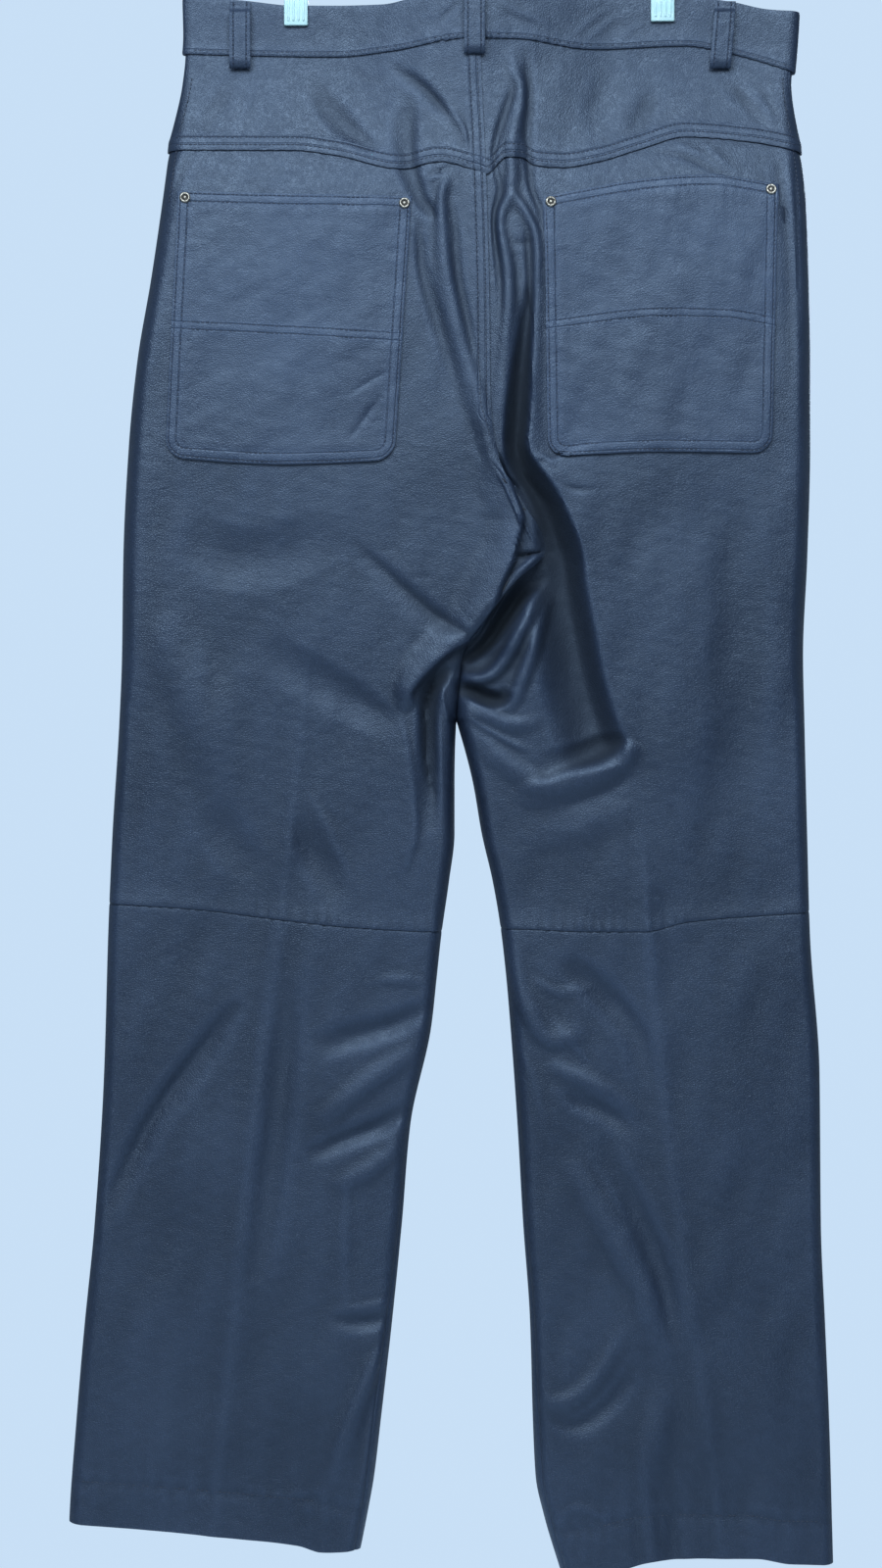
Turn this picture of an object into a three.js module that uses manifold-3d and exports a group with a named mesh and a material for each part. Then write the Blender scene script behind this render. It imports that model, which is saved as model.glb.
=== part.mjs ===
// Leather trousers that hang by two clips from a trouser hanger, with the back of the garment to the front.
// Millimetres, +Z up. The origin is where the rail meets the inside of the hook, and the back faces -Y.
// A place on the garment is given by x and by down, the distance below the waist's level.
import * as THREE from "three";
import { mergeVertices } from "three/addons/utils/BufferGeometryUtils.js";
import Module from "manifold-3d";

const wasm = await Module();
wasm.setup();

// Driving sizes
const LEATHER = 1.6; // thickness of a wall
const SEAM = 0.3; // gap between two pieces
const WAIST_LEVEL = -110; // height of the waist's level
const CROTCH = 517; // where the legs part, below the waist's level
const BAND_PROUD = 1; // the waistband's extra layer, outside the wall
const YOKE_PROUD = 0.6; // the yoke's lapped edge
const POCKET_THICKNESS = 1.8;
const ROUND_SHARE = 0.15; // share of a panel's width that turns round each side edge

// Places that the photo's back view gives, from its left to its right
const CLIP_X = { left: -131, right: 132 };
const CLIP_WIDTH = 17;
const CLIP_BITE = { left: 19, right: 16 }; // how far each clip reaches down the waistband

const COLOURS = {
  leather: 0x1b2230,
  rivet: 0x6f6a60,
  plastic: 0xbfe6e0,
  steel: 0xc9ccd0,
};

// The garment's outline and its crown, the distance of the cloth from the middle plane, back and front
const SECTIONS = {
  columns: ["down", "left", "right", "back", "front", "round"],
  rows: [
    [-8, -212, 231, 13, 12, 8],
    [38, -211, 228, 14, 13, 9],
    [60, -213, 225, 15, 14, 11],
    [100, -221, 230, 18, 14, 13],
    [145, -227, 235, 22, 16, 15],
    [200, -235, 237, 25, 18, 16],
    [260, -245, 238, 27, 20, 17],
    [320, -251, 238, 28, 21, 17],
    [400, -255, 236, 27, 21, 17],
    [470, -256, 233, 25, 20, 17],
    [520, -258, 234, 23, 19, 17],
    [600, -263, 236, 20, 18, 17],
    [670, -266, 238, 18, 17, 17],
    [770, -269, 245, 17, 16, 17],
    [880, -276, 246, 16, 16, 17],
    [950, -283, 249, 16, 15, 17],
    [1020, -289, 252, 16, 15, 17],
    [1090, -294, 254, 15, 14, 17],
    [1128, -295, 255, 15, 14, 17],
  ],
};

// The inner edges of the legs. turn is how far the inseam sits round on the back, as a share of the width.
const INNER_EDGES = {
  columns: ["down", "left", "right", "leftTurn", "rightTurn"],
  rows: [
    [517, -16.5, -15.5, 0, 0],
    [563, -17, -4, 0, 0],
    [598, -17, 2, 0, 0],
    [633, -21, 10, 0, 0],
    [668, -26, 16, 0, 0.01],
    [703, -30, 20, 0.01, 0.02],
    [738, -34, 23, 0.02, 0.03],
    [808, -49, 28, 0.03, 0.04],
    [878, -55, 32, 0.05, 0.05],
    [948, -62, 37, 0.08, 0.06],
    [1018, -70, 39, 0.1, 0.08],
    [1060, -75, 41, 0.1, 0.09],
    [1088, -80, 47, 0.09, 0.09],
    [1128, -88, 59, 0.08, 0.08],
  ],
};

// Centre seams from the waist to the crotch. The back one swings over where the left seat hangs across the right.
const CENTRE_BACK = {
  columns: ["down", "x"],
  rows: [
    [-10, -1],
    [45, 0],
    [110, 3],
    [215, 6],
    [300, 7],
    [335, 13],
    [365, 31],
    [396, 45],
    [418, 24],
    [445, 3],
    [473, -13],
    [517, -16],
  ],
};
const CENTRE_FRONT = {
  columns: ["down", "x"],
  rows: [
    [-10, 3],
    [200, 0],
    [517, -16],
  ],
};

// Seam lines across the garment
const BAND_TOP = {
  columns: ["x", "down"],
  rows: [
    [-212, -2],
    [-174, 0],
    [-132, 4],
    [-69, 4],
    [-34, -3],
    [-4, -7],
    [36, -4],
    [78, -1],
    [132, -4],
    [180, 1],
    [208, 7],
    [231, 9],
  ],
};
const BAND_BOTTOM = {
  columns: ["x", "back", "front"],
  rows: [
    [-211, 38, 38],
    [-104, 40, 41],
    [-62, 37, 41],
    [-6, 29, 40],
    [26, 29, 40],
    [78, 35, 41],
    [148, 32, 42],
    [183, 38, 44],
    [228, 52, 52],
  ],
};
const YOKE_BOTTOM = {
  columns: ["x", "down"],
  rows: [
    [-223, 109],
    [-133, 109],
    [-101, 113],
    [-57, 123],
    [-28, 118],
    [0, 125],
    [5, 127],
    [20, 115],
    [30, 115],
    [42, 121],
    [60, 122],
    [84, 118],
    [116, 108],
    [148, 99],
    [196, 103],
    [231, 110],
  ],
};
const KNEE_SEAM = {
  columns: ["x", "down"],
  rows: [
    [-266, 648],
    [-202, 652],
    [-146, 659],
    [-90, 665],
    [-26, 668],
    [18, 666],
    [78, 668],
    [116, 668],
    [149, 661],
    [238, 654],
  ],
};
const HEM = {
  columns: ["x", "down"],
  rows: [
    [-295, 1091],
    [-237, 1095],
    [-167, 1101],
    [-111, 1107],
    [-92, 1112],
    [-80, 1110],
    [48, 1127],
    [80, 1125],
    [113, 1118],
    [148, 1116],
    [190, 1116],
    [218, 1120],
    [255, 1121],
  ],
};

// Folds, each a line of points with its height (a hollow is below zero) and how far it spreads to each side.
// On a fold that runs down, east is the viewer's right. On one that runs to the right, east is above it.
const FOLD_COLUMNS = ["x", "down", "height", "west", "east"];
const BACK_FOLDS = {
  valleyBesideTheSeam: [
    [37, 45, -2, 6, 9],
    [37, 108, -4, 7, 10],
    [35, 178, -7, 7, 11],
    [32, 262, -11, 8, 11],
    [30, 311, -14, 11, 14],
    [40, 346, -18, 13, 17],
    [56, 384, -20, 15, 22],
    [70, 423, -20, 26, 24],
    [79, 465, -17, 34, 26],
    [86, 507, -12, 38, 26],
    [88, 549, 0, 38, 26],
  ],
  edgeOfTheRightLeg: [
    [42, 171, 0, 6, 9],
    [40, 234, 3, 6, 9],
    [38, 325, 4, 10, 16],
    [55, 351, 4, 12, 20],
    [75, 388, 4, 14, 24],
    [92, 437, 4, 16, 26],
    [105, 486, 5, 18, 26],
    [115, 529, 5, 18, 24],
    [120, 556, 0, 16, 22],
  ],
  bumpBesideTheSeam: [
    [16, 34, 0, 8, 10],
    [21, 87, 5, 12, 12],
    [19, 157, 4, 10, 12],
    [18, 227, 6, 10, 10],
    [20, 265, 6, 12, 9],
    [16, 300, 0, 10, 8],
  ],
  ridgeOfTheLeftSeat: [
    [-37, 143, 0, 16, 14],
    [-23, 227, 4, 16, 12],
    [-6, 283, 5, 14, 9],
    [6, 318, 3, 10, 8],
    [14, 342, 0, 10, 8],
  ],
  lipOfTheLeftSeat: [
    [22, 339, 0, 22, 8],
    [36, 374, 5, 28, 8],
    [22, 417, 6, 32, 9],
    [-2, 459, 7, 30, 10],
    [-26, 473, 7, 26, 10],
    [-45, 493, 6, 18, 9],
    [-49, 508, 0, 14, 8],
  ],
  hollowUnderTheLip: [
    [-23, 484, 0, 9, 9],
    [-33, 501, -9, 12, 11],
    [-35, 538, -6, 14, 12],
    [-37, 598, 0, 12, 10],
  ],
  foldAtTheTip: [
    [14, 563, 0, 14, 16],
    [44, 566, 5, 16, 16],
    [81, 553, 6, 18, 16],
    [106, 536, 4, 16, 16],
    [114, 521, 0, 14, 14],
  ],
  hollowOverTheTip: [
    [29, 540, 0, 16, 16],
    [57, 536, -4, 18, 18],
    [85, 524, -5, 18, 16],
    [102, 512, 0, 16, 16],
  ],
  creaseOfTheLeftLeg: [
    [-119, 493, 0, 20, 20],
    [-132, 563, 2, 20, 20],
    [-156, 773, 3, 20, 20],
    [-174, 934, 3, 20, 20],
    [-191, 1130, 2, 20, 20],
  ],
  creaseOfTheRightLeg: [
    [106, 563, 0, 20, 20],
    [121, 668, 3, 20, 20],
    [131, 773, 3, 20, 20],
    [148, 913, 3, 20, 20],
    [175, 1130, 2, 20, 20],
  ],
  dragAcrossTheLeftSeat: [
    [-82, 412, 0, 12, 14],
    [-37, 440, -4, 14, 14],
    [-2, 458, 0, 10, 10],
  ],
};
const FRONT_FOLDS = {
  creaseOfTheLeftLeg: [
    [-119, 300, 0, 22, 22],
    [-136, 600, 3, 22, 22],
    [-160, 850, 3, 22, 22],
    [-191, 1130, 2, 22, 22],
  ],
  creaseOfTheRightLeg: [
    [112, 300, 0, 22, 22],
    [120, 600, 3, 22, 22],
    [142, 850, 3, 22, 22],
    [165, 1130, 2, 22, 22],
  ],
  dragOfTheLeftFork: [
    [-105, 400, 0, 14, 16],
    [-62, 455, -5, 16, 16],
    [-30, 492, 0, 12, 12],
  ],
  dragOfTheRightFork: [
    [-4, 492, 0, 12, 12],
    [30, 450, -5, 16, 16],
    [78, 395, 0, 16, 14],
  ],
};

const SIDES = { left: 1, right: -1 }; // the way from the side seam to the middle, along X

// A smooth line through a table's rows that never overshoots them
function reader(table) {
  const at = table.rows.map((row) => row[0]);
  const gaps = at.slice(1).map((value, i) => value - at[i]);
  const lines = {};
  table.columns.slice(1).forEach((name, index) => {
    const values = table.rows.map((row) => row[index + 1]);
    const slopes = gaps.map((gap, i) => (values[i + 1] - values[i]) / gap);
    const bends = values.map((_, i) => {
      if (i === 0) return slopes[0];
      if (i === slopes.length) return slopes[i - 1];
      const [before, after] = [slopes[i - 1], slopes[i]];
      return before * after <= 0 ? 0 : (2 * before * after) / (before + after);
    });
    lines[name] = { values, bends };
  });
  return (name, position) => {
    const { values, bends } = lines[name];
    const p = THREE.MathUtils.clamp(position, at[0], at[at.length - 1]);
    let i = 0;
    while (i < gaps.length - 1 && p > at[i + 1]) i += 1;
    const [t, gap] = [(p - at[i]) / gaps[i], gaps[i]];
    const rise = values[i + 1] - values[i];
    const c = 3 * rise - gap * (2 * bends[i] + bends[i + 1]);
    const d = gap * (bends[i] + bends[i + 1]) - 2 * rise;
    return values[i] + t * (gap * bends[i] + t * (c + t * d));
  };
}

const section = reader(SECTIONS);
const innerEdge = reader(INNER_EDGES);
const centreBack = reader(CENTRE_BACK);
const centreFront = reader(CENTRE_FRONT);
const bandTop = reader(BAND_TOP);
const bandBottom = reader(BAND_BOTTOM);
const yokeBottom = reader(YOKE_BOTTOM);
const kneeSeam = reader(KNEE_SEAM);
const hem = reader(HEM);

const lerp = THREE.MathUtils.lerp;
const smooth = (value, low, high) => THREE.MathUtils.smoothstep(value, low, high);

// A fold's table as a smooth line of short stretches
function stretchesOf(rows) {
  const STEPS = 4;
  const points = [];
  for (let i = 0; i < rows.length - 1; i += 1) {
    const around = [i - 1, i, i + 1, i + 2].map((k) => rows[THREE.MathUtils.clamp(k, 0, rows.length - 1)]);
    for (let step = 0; step < STEPS; step += 1) {
      const t = step / STEPS;
      points.push(
        FOLD_COLUMNS.map((_, c) => {
          const [a, b, d, e] = around.map((row) => row[c]);
          const [m, n] = [(d - a) / 2, (e - b) / 2];
          return b + t * (m + t * (3 * (d - b) - 2 * m - n + t * (2 * (b - d) + m + n)));
        }),
      );
    }
  }
  points.push(rows[rows.length - 1]);
  return points;
}
const FOLDS = {
  back: Object.values(BACK_FOLDS).map(stretchesOf),
  front: Object.values(FRONT_FOLDS).map(stretchesOf),
};

// How far the folds of one face lift the cloth at a place
function relief(face, x, down) {
  let lift = 0;
  for (const fold of FOLDS[face]) {
    let nearest = { away: Infinity };
    for (let i = 0; i < fold.length - 1; i += 1) {
      const [a, b] = [fold[i], fold[i + 1]];
      const [dx, dd] = [b[0] - a[0], b[1] - a[1]];
      const along = THREE.MathUtils.clamp(((x - a[0]) * dx + (down - a[1]) * dd) / (dx * dx + dd * dd), 0, 1);
      const [ox, od] = [x - a[0] - along * dx, down - a[1] - along * dd];
      const away = Math.hypot(ox, od);
      if (away < nearest.away) nearest = { away, along, a, b, east: ox * dd - od * dx > 0 };
    }
    const value = (c) => lerp(nearest.a[c], nearest.b[c], nearest.along);
    const share = nearest.away / value(nearest.east ? 4 : 3);
    if (share < 1) lift += value(2) * (1 - share * share) ** 2;
  }
  return lift;
}

// The clips press the front and back together. The waist opens out between them, and little beyond them.
function pressed(x, down, depth) {
  const PRESSED = LEATHER + 0.35;
  const BETWEEN = { flat: 30, reach: 45 };
  const BEYOND = { flat: 56, reach: 60 };
  const hold = 1 - smooth(down, 28, 150);
  let free = 1;
  for (const clip of Object.values(CLIP_X)) {
    const { flat, reach } = (x - clip) * clip > 0 ? BEYOND : BETWEEN;
    const away = Math.max(0, Math.abs(x - clip) - flat) / reach;
    free *= 1 - hold * Math.exp(-away * away);
  }
  return PRESSED + (depth - PRESSED) * free;
}

// A point of one half's cloth. turn runs from 0 at the side seam over the back to 1 at the middle, and to -1 over
// the front. Below the crotch the half is a leg, and 1 and -1 are the same point.
function clothPoint(side, turn, down) {
  const isLeg = down >= CROTCH;
  let round = turn;
  if (isLeg && round < -1) round += 2;
  if (isLeg && round > 1) round -= 2;
  const face = round >= 0 ? "back" : "front";
  const t = Math.min(Math.abs(round), 1);
  const outer = section(side, down);
  const inner = isLeg ? innerEdge(side, down) : (face === "back" ? centreBack : centreFront)("x", down);
  const width = Math.abs(inner - outer);
  const radius = section("round", down);
  const fork = THREE.MathUtils.clamp((down - (CROTCH - 125)) / 125, 0, 1);
  const open = Math.sqrt(1 - fork * fork);
  const quarter = Math.PI / 2 / ROUND_SHARE;
  let across = lerp(radius, width - radius, (t - ROUND_SHARE) / (1 - 2 * ROUND_SHARE));
  let rise = 1;
  if (t < ROUND_SHARE) {
    across = radius * (1 - Math.cos(t * quarter));
    rise = Math.sin(t * quarter);
  } else if (t > 1 - ROUND_SHARE) {
    across = width - radius * (1 - Math.cos((1 - t) * quarter));
    rise = open + (1 - open) * Math.sin((1 - t) * quarter);
  }
  const x = outer + SIDES[side] * across;
  const crown = pressed(x, down, section(face, down) + relief(face, x, down));
  return new THREE.Vector3(x, (face === "back" ? -1 : 1) * rise * crown, WAIST_LEVEL - down);
}

// The outward direction at a place. On a centre seam both halves share it.
function clothNormal(side, turn, down) {
  const [SMALL, STEP] = [0.004, 0.8];
  const onSeam = down < CROTCH && Math.abs(turn) > 1 - SMALL;
  const other = side === "left" ? "right" : "left";
  const ahead = onSeam && turn > 0 ? clothPoint(other, 1 - SMALL, down) : clothPoint(side, turn + SMALL, down);
  const behind = onSeam && turn < 0 ? clothPoint(other, SMALL - 1, down) : clothPoint(side, turn - SMALL, down);
  const floor = down >= CROTCH ? CROTCH : -Infinity;
  const ceiling = down < CROTCH ? CROTCH - 0.001 : Infinity;
  const above = clothPoint(side, turn, Math.max(down - STEP, floor));
  const below = clothPoint(side, turn, Math.min(down + STEP, ceiling));
  const normal = ahead.sub(behind).cross(below.sub(above)).normalize();
  return side === "left" ? normal.negate() : normal;
}

// A closed wall over a grid of places: each gives a point and its outward direction
function wallGeometry(grid, outside, inside) {
  const [rows, columns] = [grid.length, grid[0].length];
  const corners = [];
  const layer = (offset) =>
    grid.forEach((row, r) =>
      row.forEach((place, c) => {
        const shift = new THREE.Vector3();
        for (const [edge, near] of [
          [r === 0, grid[1][c]],
          [r === rows - 1, grid[rows - 2][c]],
          [c === 0, row[1]],
          [c === columns - 1, row[columns - 2]],
        ])
          if (edge) shift.add(near.point.clone().sub(place.point).setLength(SEAM / 2));
        corners.push(place.point.clone().add(shift).addScaledVector(place.normal, offset));
      }),
    );
  layer(outside);
  layer(-inside);
  const faces = [];
  const under = rows * columns;
  const apart = (a, b) => corners[a].distanceToSquared(corners[b]);
  const quad = (a, b, c, d) =>
    apart(a, c) < apart(b, d) ? faces.push(a, b, c, a, c, d) : faces.push(a, b, d, b, c, d);
  const at = (r, c) => r * columns + c;
  for (let r = 0; r < rows - 1; r += 1)
    for (let c = 0; c < columns - 1; c += 1) {
      quad(at(r, c), at(r + 1, c), at(r + 1, c + 1), at(r, c + 1));
      quad(under + at(r, c), under + at(r, c + 1), under + at(r + 1, c + 1), under + at(r + 1, c));
    }
  const rim = [];
  for (let c = 0; c < columns - 1; c += 1) rim.push(at(0, c));
  for (let r = 0; r < rows - 1; r += 1) rim.push(at(r, columns - 1));
  for (let c = columns - 1; c > 0; c -= 1) rim.push(at(rows - 1, c));
  for (let r = rows - 1; r > 0; r -= 1) rim.push(at(r, 0));
  rim.forEach((a, i) => {
    const b = rim[(i + 1) % rim.length];
    quad(a, b, under + b, under + a);
  });
  const geometry = new THREE.BufferGeometry();
  geometry.setAttribute("position", new THREE.Float32BufferAttribute(corners.flatMap((p) => p.toArray()), 3));
  geometry.setIndex(faces);
  return facingOut(geometry);
}

// Turns a closed mesh's faces round if they point inwards
function facingOut(geometry) {
  const position = geometry.getAttribute("position");
  const index = Array.from(geometry.index.array);
  const corner = (i) => new THREE.Vector3().fromBufferAttribute(position, index[i]);
  let volume = 0;
  for (let i = 0; i < index.length; i += 3) volume += corner(i).dot(corner(i + 1).cross(corner(i + 2)));
  if (volume < 0) for (let i = 0; i < index.length; i += 3) index.splice(i, 3, index[i], index[i + 2], index[i + 1]);
  geometry.setIndex(index);
  geometry.computeVertexNormals();
  return geometry;
}

const spread = (from, to, count) => Array.from({ length: count + 1 }, (_, i) => lerp(from, to, i / count));

// Columns of a panel: close together where the cloth turns round a side edge, evenly spaced between
function columnsOf(flat, rounded = 3) {
  const edge = spread(0, ROUND_SHARE, rounded);
  const middle = spread(ROUND_SHARE, 1 - ROUND_SHARE, flat).slice(1, -1);
  return [...edge, ...middle, ...edge.map((value) => 1 - value).reverse()];
}

// The rows of a panel run between seam lines, each a function of x, or a level
function panelGrid(side, face, columns, lines, counts) {
  const xAt = (share, down) => clothPoint(side, (face === "back" ? 1 : -1) * share, down).x;
  const downAt = (line, share) => {
    if (typeof line === "number") return line;
    let down = line(0);
    for (let i = 0; i < 4; i += 1) down = line(xAt(share, down));
    return down;
  };
  const grid = [];
  lines.slice(0, -1).forEach((line, part) => {
    const shares = spread(0, 1, counts[part]).slice(part === 0 ? 0 : 1);
    shares.forEach((share) =>
      grid.push(
        columns.map((column) => {
          const down = lerp(downAt(line, column), downAt(lines[part + 1], column), share);
          const seam = down >= CROTCH ? innerEdge(`${side}Turn`, down) : 0;
          const turn = face === "back" ? column * (1 - seam) : -column * (1 + seam);
          return { point: clothPoint(side, turn, down), normal: clothNormal(side, turn, down) };
        }),
      ),
    );
  });
  return grid;
}

const root = new THREE.Group();
const materials = {
  leather: new THREE.MeshStandardMaterial({ color: COLOURS.leather, roughness: 0.45, metalness: 0 }),
  rivet: new THREE.MeshStandardMaterial({ color: COLOURS.rivet, roughness: 0.4, metalness: 0.9 }),
  plastic: new THREE.MeshStandardMaterial({ color: COLOURS.plastic, roughness: 0.25, metalness: 0 }),
  steel: new THREE.MeshStandardMaterial({ color: COLOURS.steel, roughness: 0.25, metalness: 1 }),
};

function addPiece(name, geometry, material = materials.leather) {
  const mesh = new THREE.Mesh(geometry, material);
  mesh.name = name;
  root.add(mesh);
  return mesh;
}

// Panels of the back and front
const backTop = (x) => bandBottom("back", x);
const frontTop = (x) => bandBottom("front", x);
const bandEdge = (x) => bandTop("down", x);
const yokeEdge = (x) => yokeBottom("down", x);
const kneeEdge = (x) => kneeSeam("down", x);
const hemEdge = (x) => hem("down", x);

// Panels that meet at a seam across the garment share their columns, so that their edges follow the same line
const COLUMNS = {
  back: {
    left: columnsOf(10),
    right: [
      ...columnsOf(10).filter((value) => value < 0.48),
      ...spread(0.5, 1 - ROUND_SHARE, 8),
      ...spread(1 - ROUND_SHARE, 1, 3).slice(1),
    ],
  },
  front: { left: columnsOf(8), right: columnsOf(8) },
};
const panel = (side, face, lines, counts) => panelGrid(side, face, COLUMNS[face][side], lines, counts);
const backThighs = {};
const frontThighs = {};
for (const side of Object.keys(SIDES)) {
  backThighs[side] = panel(side, "back", [yokeEdge, CROTCH, kneeEdge], [24, 7]);
  frontThighs[side] = panel(side, "front", [frontTop, CROTCH, kneeEdge], [15, 7]);
  const yoke = panel(side, "back", [backTop, yokeEdge], [4]);
  const backShin = panel(side, "back", [kneeEdge, hemEdge], [10]);
  const frontShin = panel(side, "front", [kneeEdge, hemEdge], [10]);
  addPiece(`yoke_${side}`, wallGeometry(yoke, YOKE_PROUD, LEATHER));
  addPiece(`back_thigh_${side}`, wallGeometry(backThighs[side], 0, LEATHER));
  addPiece(`back_shin_${side}`, wallGeometry(backShin, 0, LEATHER));
  addPiece(`front_thigh_${side}`, wallGeometry(frontThighs[side], 0, LEATHER));
  addPiece(`front_shin_${side}`, wallGeometry(frontShin, 0, LEATHER));
}

// The waistband: one piece across the back, and two in front that close at the middle
const bandHalf = (side, face) => panel(side, face, [bandEdge, face === "back" ? backTop : frontTop], [3]);
const joinedBand = bandHalf("left", "back").map((row, r) => [
  ...row,
  ...bandHalf("right", "back")[r].slice(0, -1).reverse(),
]);
addPiece("waistband_back", wallGeometry(joinedBand, BAND_PROUD, LEATHER));
for (const side of Object.keys(SIDES))
  addPiece(`waistband_front_${side}`, wallGeometry(bandHalf(side, "front"), BAND_PROUD, LEATHER));

// A closed geometry as a manifold-3d solid, and back
function solidOf(geometry) {
  const bare = geometry.clone();
  bare.deleteAttribute("normal");
  bare.deleteAttribute("uv");
  const merged = mergeVertices(bare, 1e-4);
  const triVerts = new Uint32Array(merged.index.array);
  const vertProperties = new Float32Array(merged.getAttribute("position").array);
  return new wasm.Manifold(new wasm.Mesh({ numProp: 3, vertProperties, triVerts }));
}
function geometryOf(solid) {
  const mesh = solid.getMesh();
  const geometry = new THREE.BufferGeometry();
  geometry.setAttribute("position", new THREE.Float32BufferAttribute(mesh.vertProperties, 3));
  geometry.setIndex(Array.from(mesh.triVerts));
  return facingOut(geometry);
}

// A patch that lies on a panel: the panel's own points moved out, cut to an outline seen from the back or front
function patchOn(grid, shape, thickness) {
  const DEEP = 80;
  const shell = solidOf(wallGeometry(grid, SEAM + thickness, -SEAM));
  const cutter = new THREE.ExtrudeGeometry(shape, { depth: 2 * DEEP, bevelEnabled: false, curveSegments: 5 });
  cutter.rotateX(Math.PI / 2).translate(0, DEEP, WAIST_LEVEL);
  return geometryOf(shell.intersect(solidOf(cutter)));
}

// The outline of a pocket, with its top line, its sides and round lower corners. A shape's y is minus down.
const POCKET_ROUND = 14;
const POCKETS = {
  left: {
    top: [
      [-214, 141],
      [-131, 143],
      [-48, 145],
    ],
    low: { inner: [-60, 333], middle: [-140, 336], outer: [-223, 331] },
  },
  right: {
    top: [
      [213, 136],
      [163, 129],
      [129, 131],
      [46, 145],
    ],
    low: { inner: [49, 331], middle: [129, 327], outer: [208, 328] },
  },
};
function pocketShape({ top, low }) {
  const at = ([x, down]) => new THREE.Vector2(x, -down);
  const shape = new THREE.Shape();
  const line = new THREE.SplineCurve(top.map(at)).getPoints(6);
  shape.moveTo(line[0].x, line[0].y);
  line.slice(1).forEach((p) => shape.lineTo(p.x, p.y));
  const corner = (from, turn, to) => {
    const start = turn.clone().add(from.clone().sub(turn).setLength(POCKET_ROUND));
    const end = turn.clone().add(to.clone().sub(turn).setLength(POCKET_ROUND));
    shape.lineTo(start.x, start.y);
    shape.quadraticCurveTo(turn.x, turn.y, end.x, end.y);
  };
  corner(at(top[top.length - 1]), at(low.inner), at(low.middle));
  shape.lineTo(...at(low.middle).toArray());
  corner(at(low.middle), at(low.outer), at(top[0]));
  shape.closePath();
  return shape;
}
for (const side of Object.keys(SIDES))
  addPiece(`pocket_${side}`, patchOn(backThighs[side], pocketShape(POCKETS[side]), POCKET_THICKNESS));

// The cloth's place and direction under a point seen from one face, found by halving
function under(face, x, down) {
  const side = x < (face === "back" ? centreBack : centreFront)("x", down) ? "left" : "right";
  const way = face === "back" ? 1 : -1;
  let [low, high] = [0, 1];
  for (let i = 0; i < 30; i += 1) {
    const middle = (low + high) / 2;
    const short = (x - clothPoint(side, way * middle, down).x) * SIDES[side] > 0;
    if (short) low = middle;
    else high = middle;
  }
  return { point: clothPoint(side, way * low, down), normal: clothNormal(side, way * low, down) };
}

// Belt loops: a strip sewn down at both ends, that stands off the waistband between them
const LOOP = { width: 15, thickness: 1.8, room: 4.8, foot: 7 };
const LOOPS = [
  { name: "belt_loop_back_left", face: "back", x: -171, lean: 0, end: 50 },
  { name: "belt_loop_back_middle", face: "back", x: -3, lean: 0, end: 42 },
  { name: "belt_loop_back_right", face: "back", x: 173, lean: 4, end: 50 },
  { name: "belt_loop_front_left", face: "front", x: -107, lean: 0, end: 52 },
  { name: "belt_loop_front_right", face: "front", x: 107, lean: 0, end: 52 },
];
function loopGeometry({ face, x, lean, end }) {
  const start = bandEdge(x) + 1.5;
  const ON_CLOTH = BAND_PROUD + 0.5;
  const stations = [
    [start, 0],
    [start + LOOP.foot, 0],
    [start + LOOP.foot + 2, LOOP.room],
    [(start + end) / 2, LOOP.room],
    [end - LOOP.foot - 2, LOOP.room],
    [end - LOOP.foot, 0],
    [end, 0],
  ];
  const outward = new THREE.Vector3(0, face === "back" ? -1 : 1, 0);
  const crown = Math.max(...[start, end].map((down) => Math.abs(under(face, x, down).point.y)));
  const grid = stations.map(([down, room]) =>
    spread(-LOOP.width / 2, LOOP.width / 2, 2).map((offset) => {
      const place = under(face, x + offset + lean * (1 - (down - start) / (end - start)), down).point;
      if (room > 0) place.y = outward.y * Math.max(Math.abs(place.y), crown);
      return { point: place.addScaledVector(outward, ON_CLOTH + room), normal: outward };
    }),
  );
  return wallGeometry(grid, LOOP.thickness, 0);
}
LOOPS.forEach((loop) => addPiece(loop.name, loopGeometry(loop)));

// Places a turned piece, whose axis is its own Y, on the cloth at a height above it
function seat(mesh, place, height) {
  mesh.quaternion.setFromUnitVectors(new THREE.Vector3(0, 1, 0), place.normal);
  mesh.position.copy(place.point).addScaledVector(place.normal, height);
}

// Rivets at the pockets' upper corners, and the waist button in front
const RIVET = { radius: 4, height: 1.4, dimple: 1.4, sides: 16 };
const turned = (points, sides) => new THREE.LatheGeometry(points.map(([r, h]) => new THREE.Vector2(r, h)), sides);
const RIVETS = [
  { name: "rivet_left_outer", x: -209, down: 146 },
  { name: "rivet_left_inner", x: -53, down: 150 },
  { name: "rivet_right_inner", x: 51, down: 149 },
  { name: "rivet_right_outer", x: 208, down: 140 },
];
RIVETS.forEach(({ name, x, down }) => {
  const { radius, height, dimple } = RIVET;
  const profile = [
    [0, 0],
    [radius, 0],
    [radius, height * 0.5],
    [radius * 0.8, height],
    [dimple, height * 0.8],
    [0, height * 0.4],
  ];
  const rivet = addPiece(name, turned(profile, RIVET.sides), materials.rivet);
  seat(rivet, under("back", x, down), POCKET_THICKNESS + 2 * SEAM + 0.15);
});
const BUTTON = { radius: 8.5, height: 3, stem: 3 };
const button = addPiece(
  "waist_button",
  turned(
    [
      [0, 0],
      [BUTTON.stem, 0],
      [BUTTON.stem, BUTTON.height * 0.4],
      [BUTTON.radius, BUTTON.height * 0.5],
      [BUTTON.radius, BUTTON.height * 0.85],
      [BUTTON.radius * 0.8, BUTTON.height],
      [0, BUTTON.height * 0.8],
    ],
    20,
  ),
  materials.rivet,
);
seat(button, under("front", -12, 17), BAND_PROUD + SEAM + 0.1);

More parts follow.
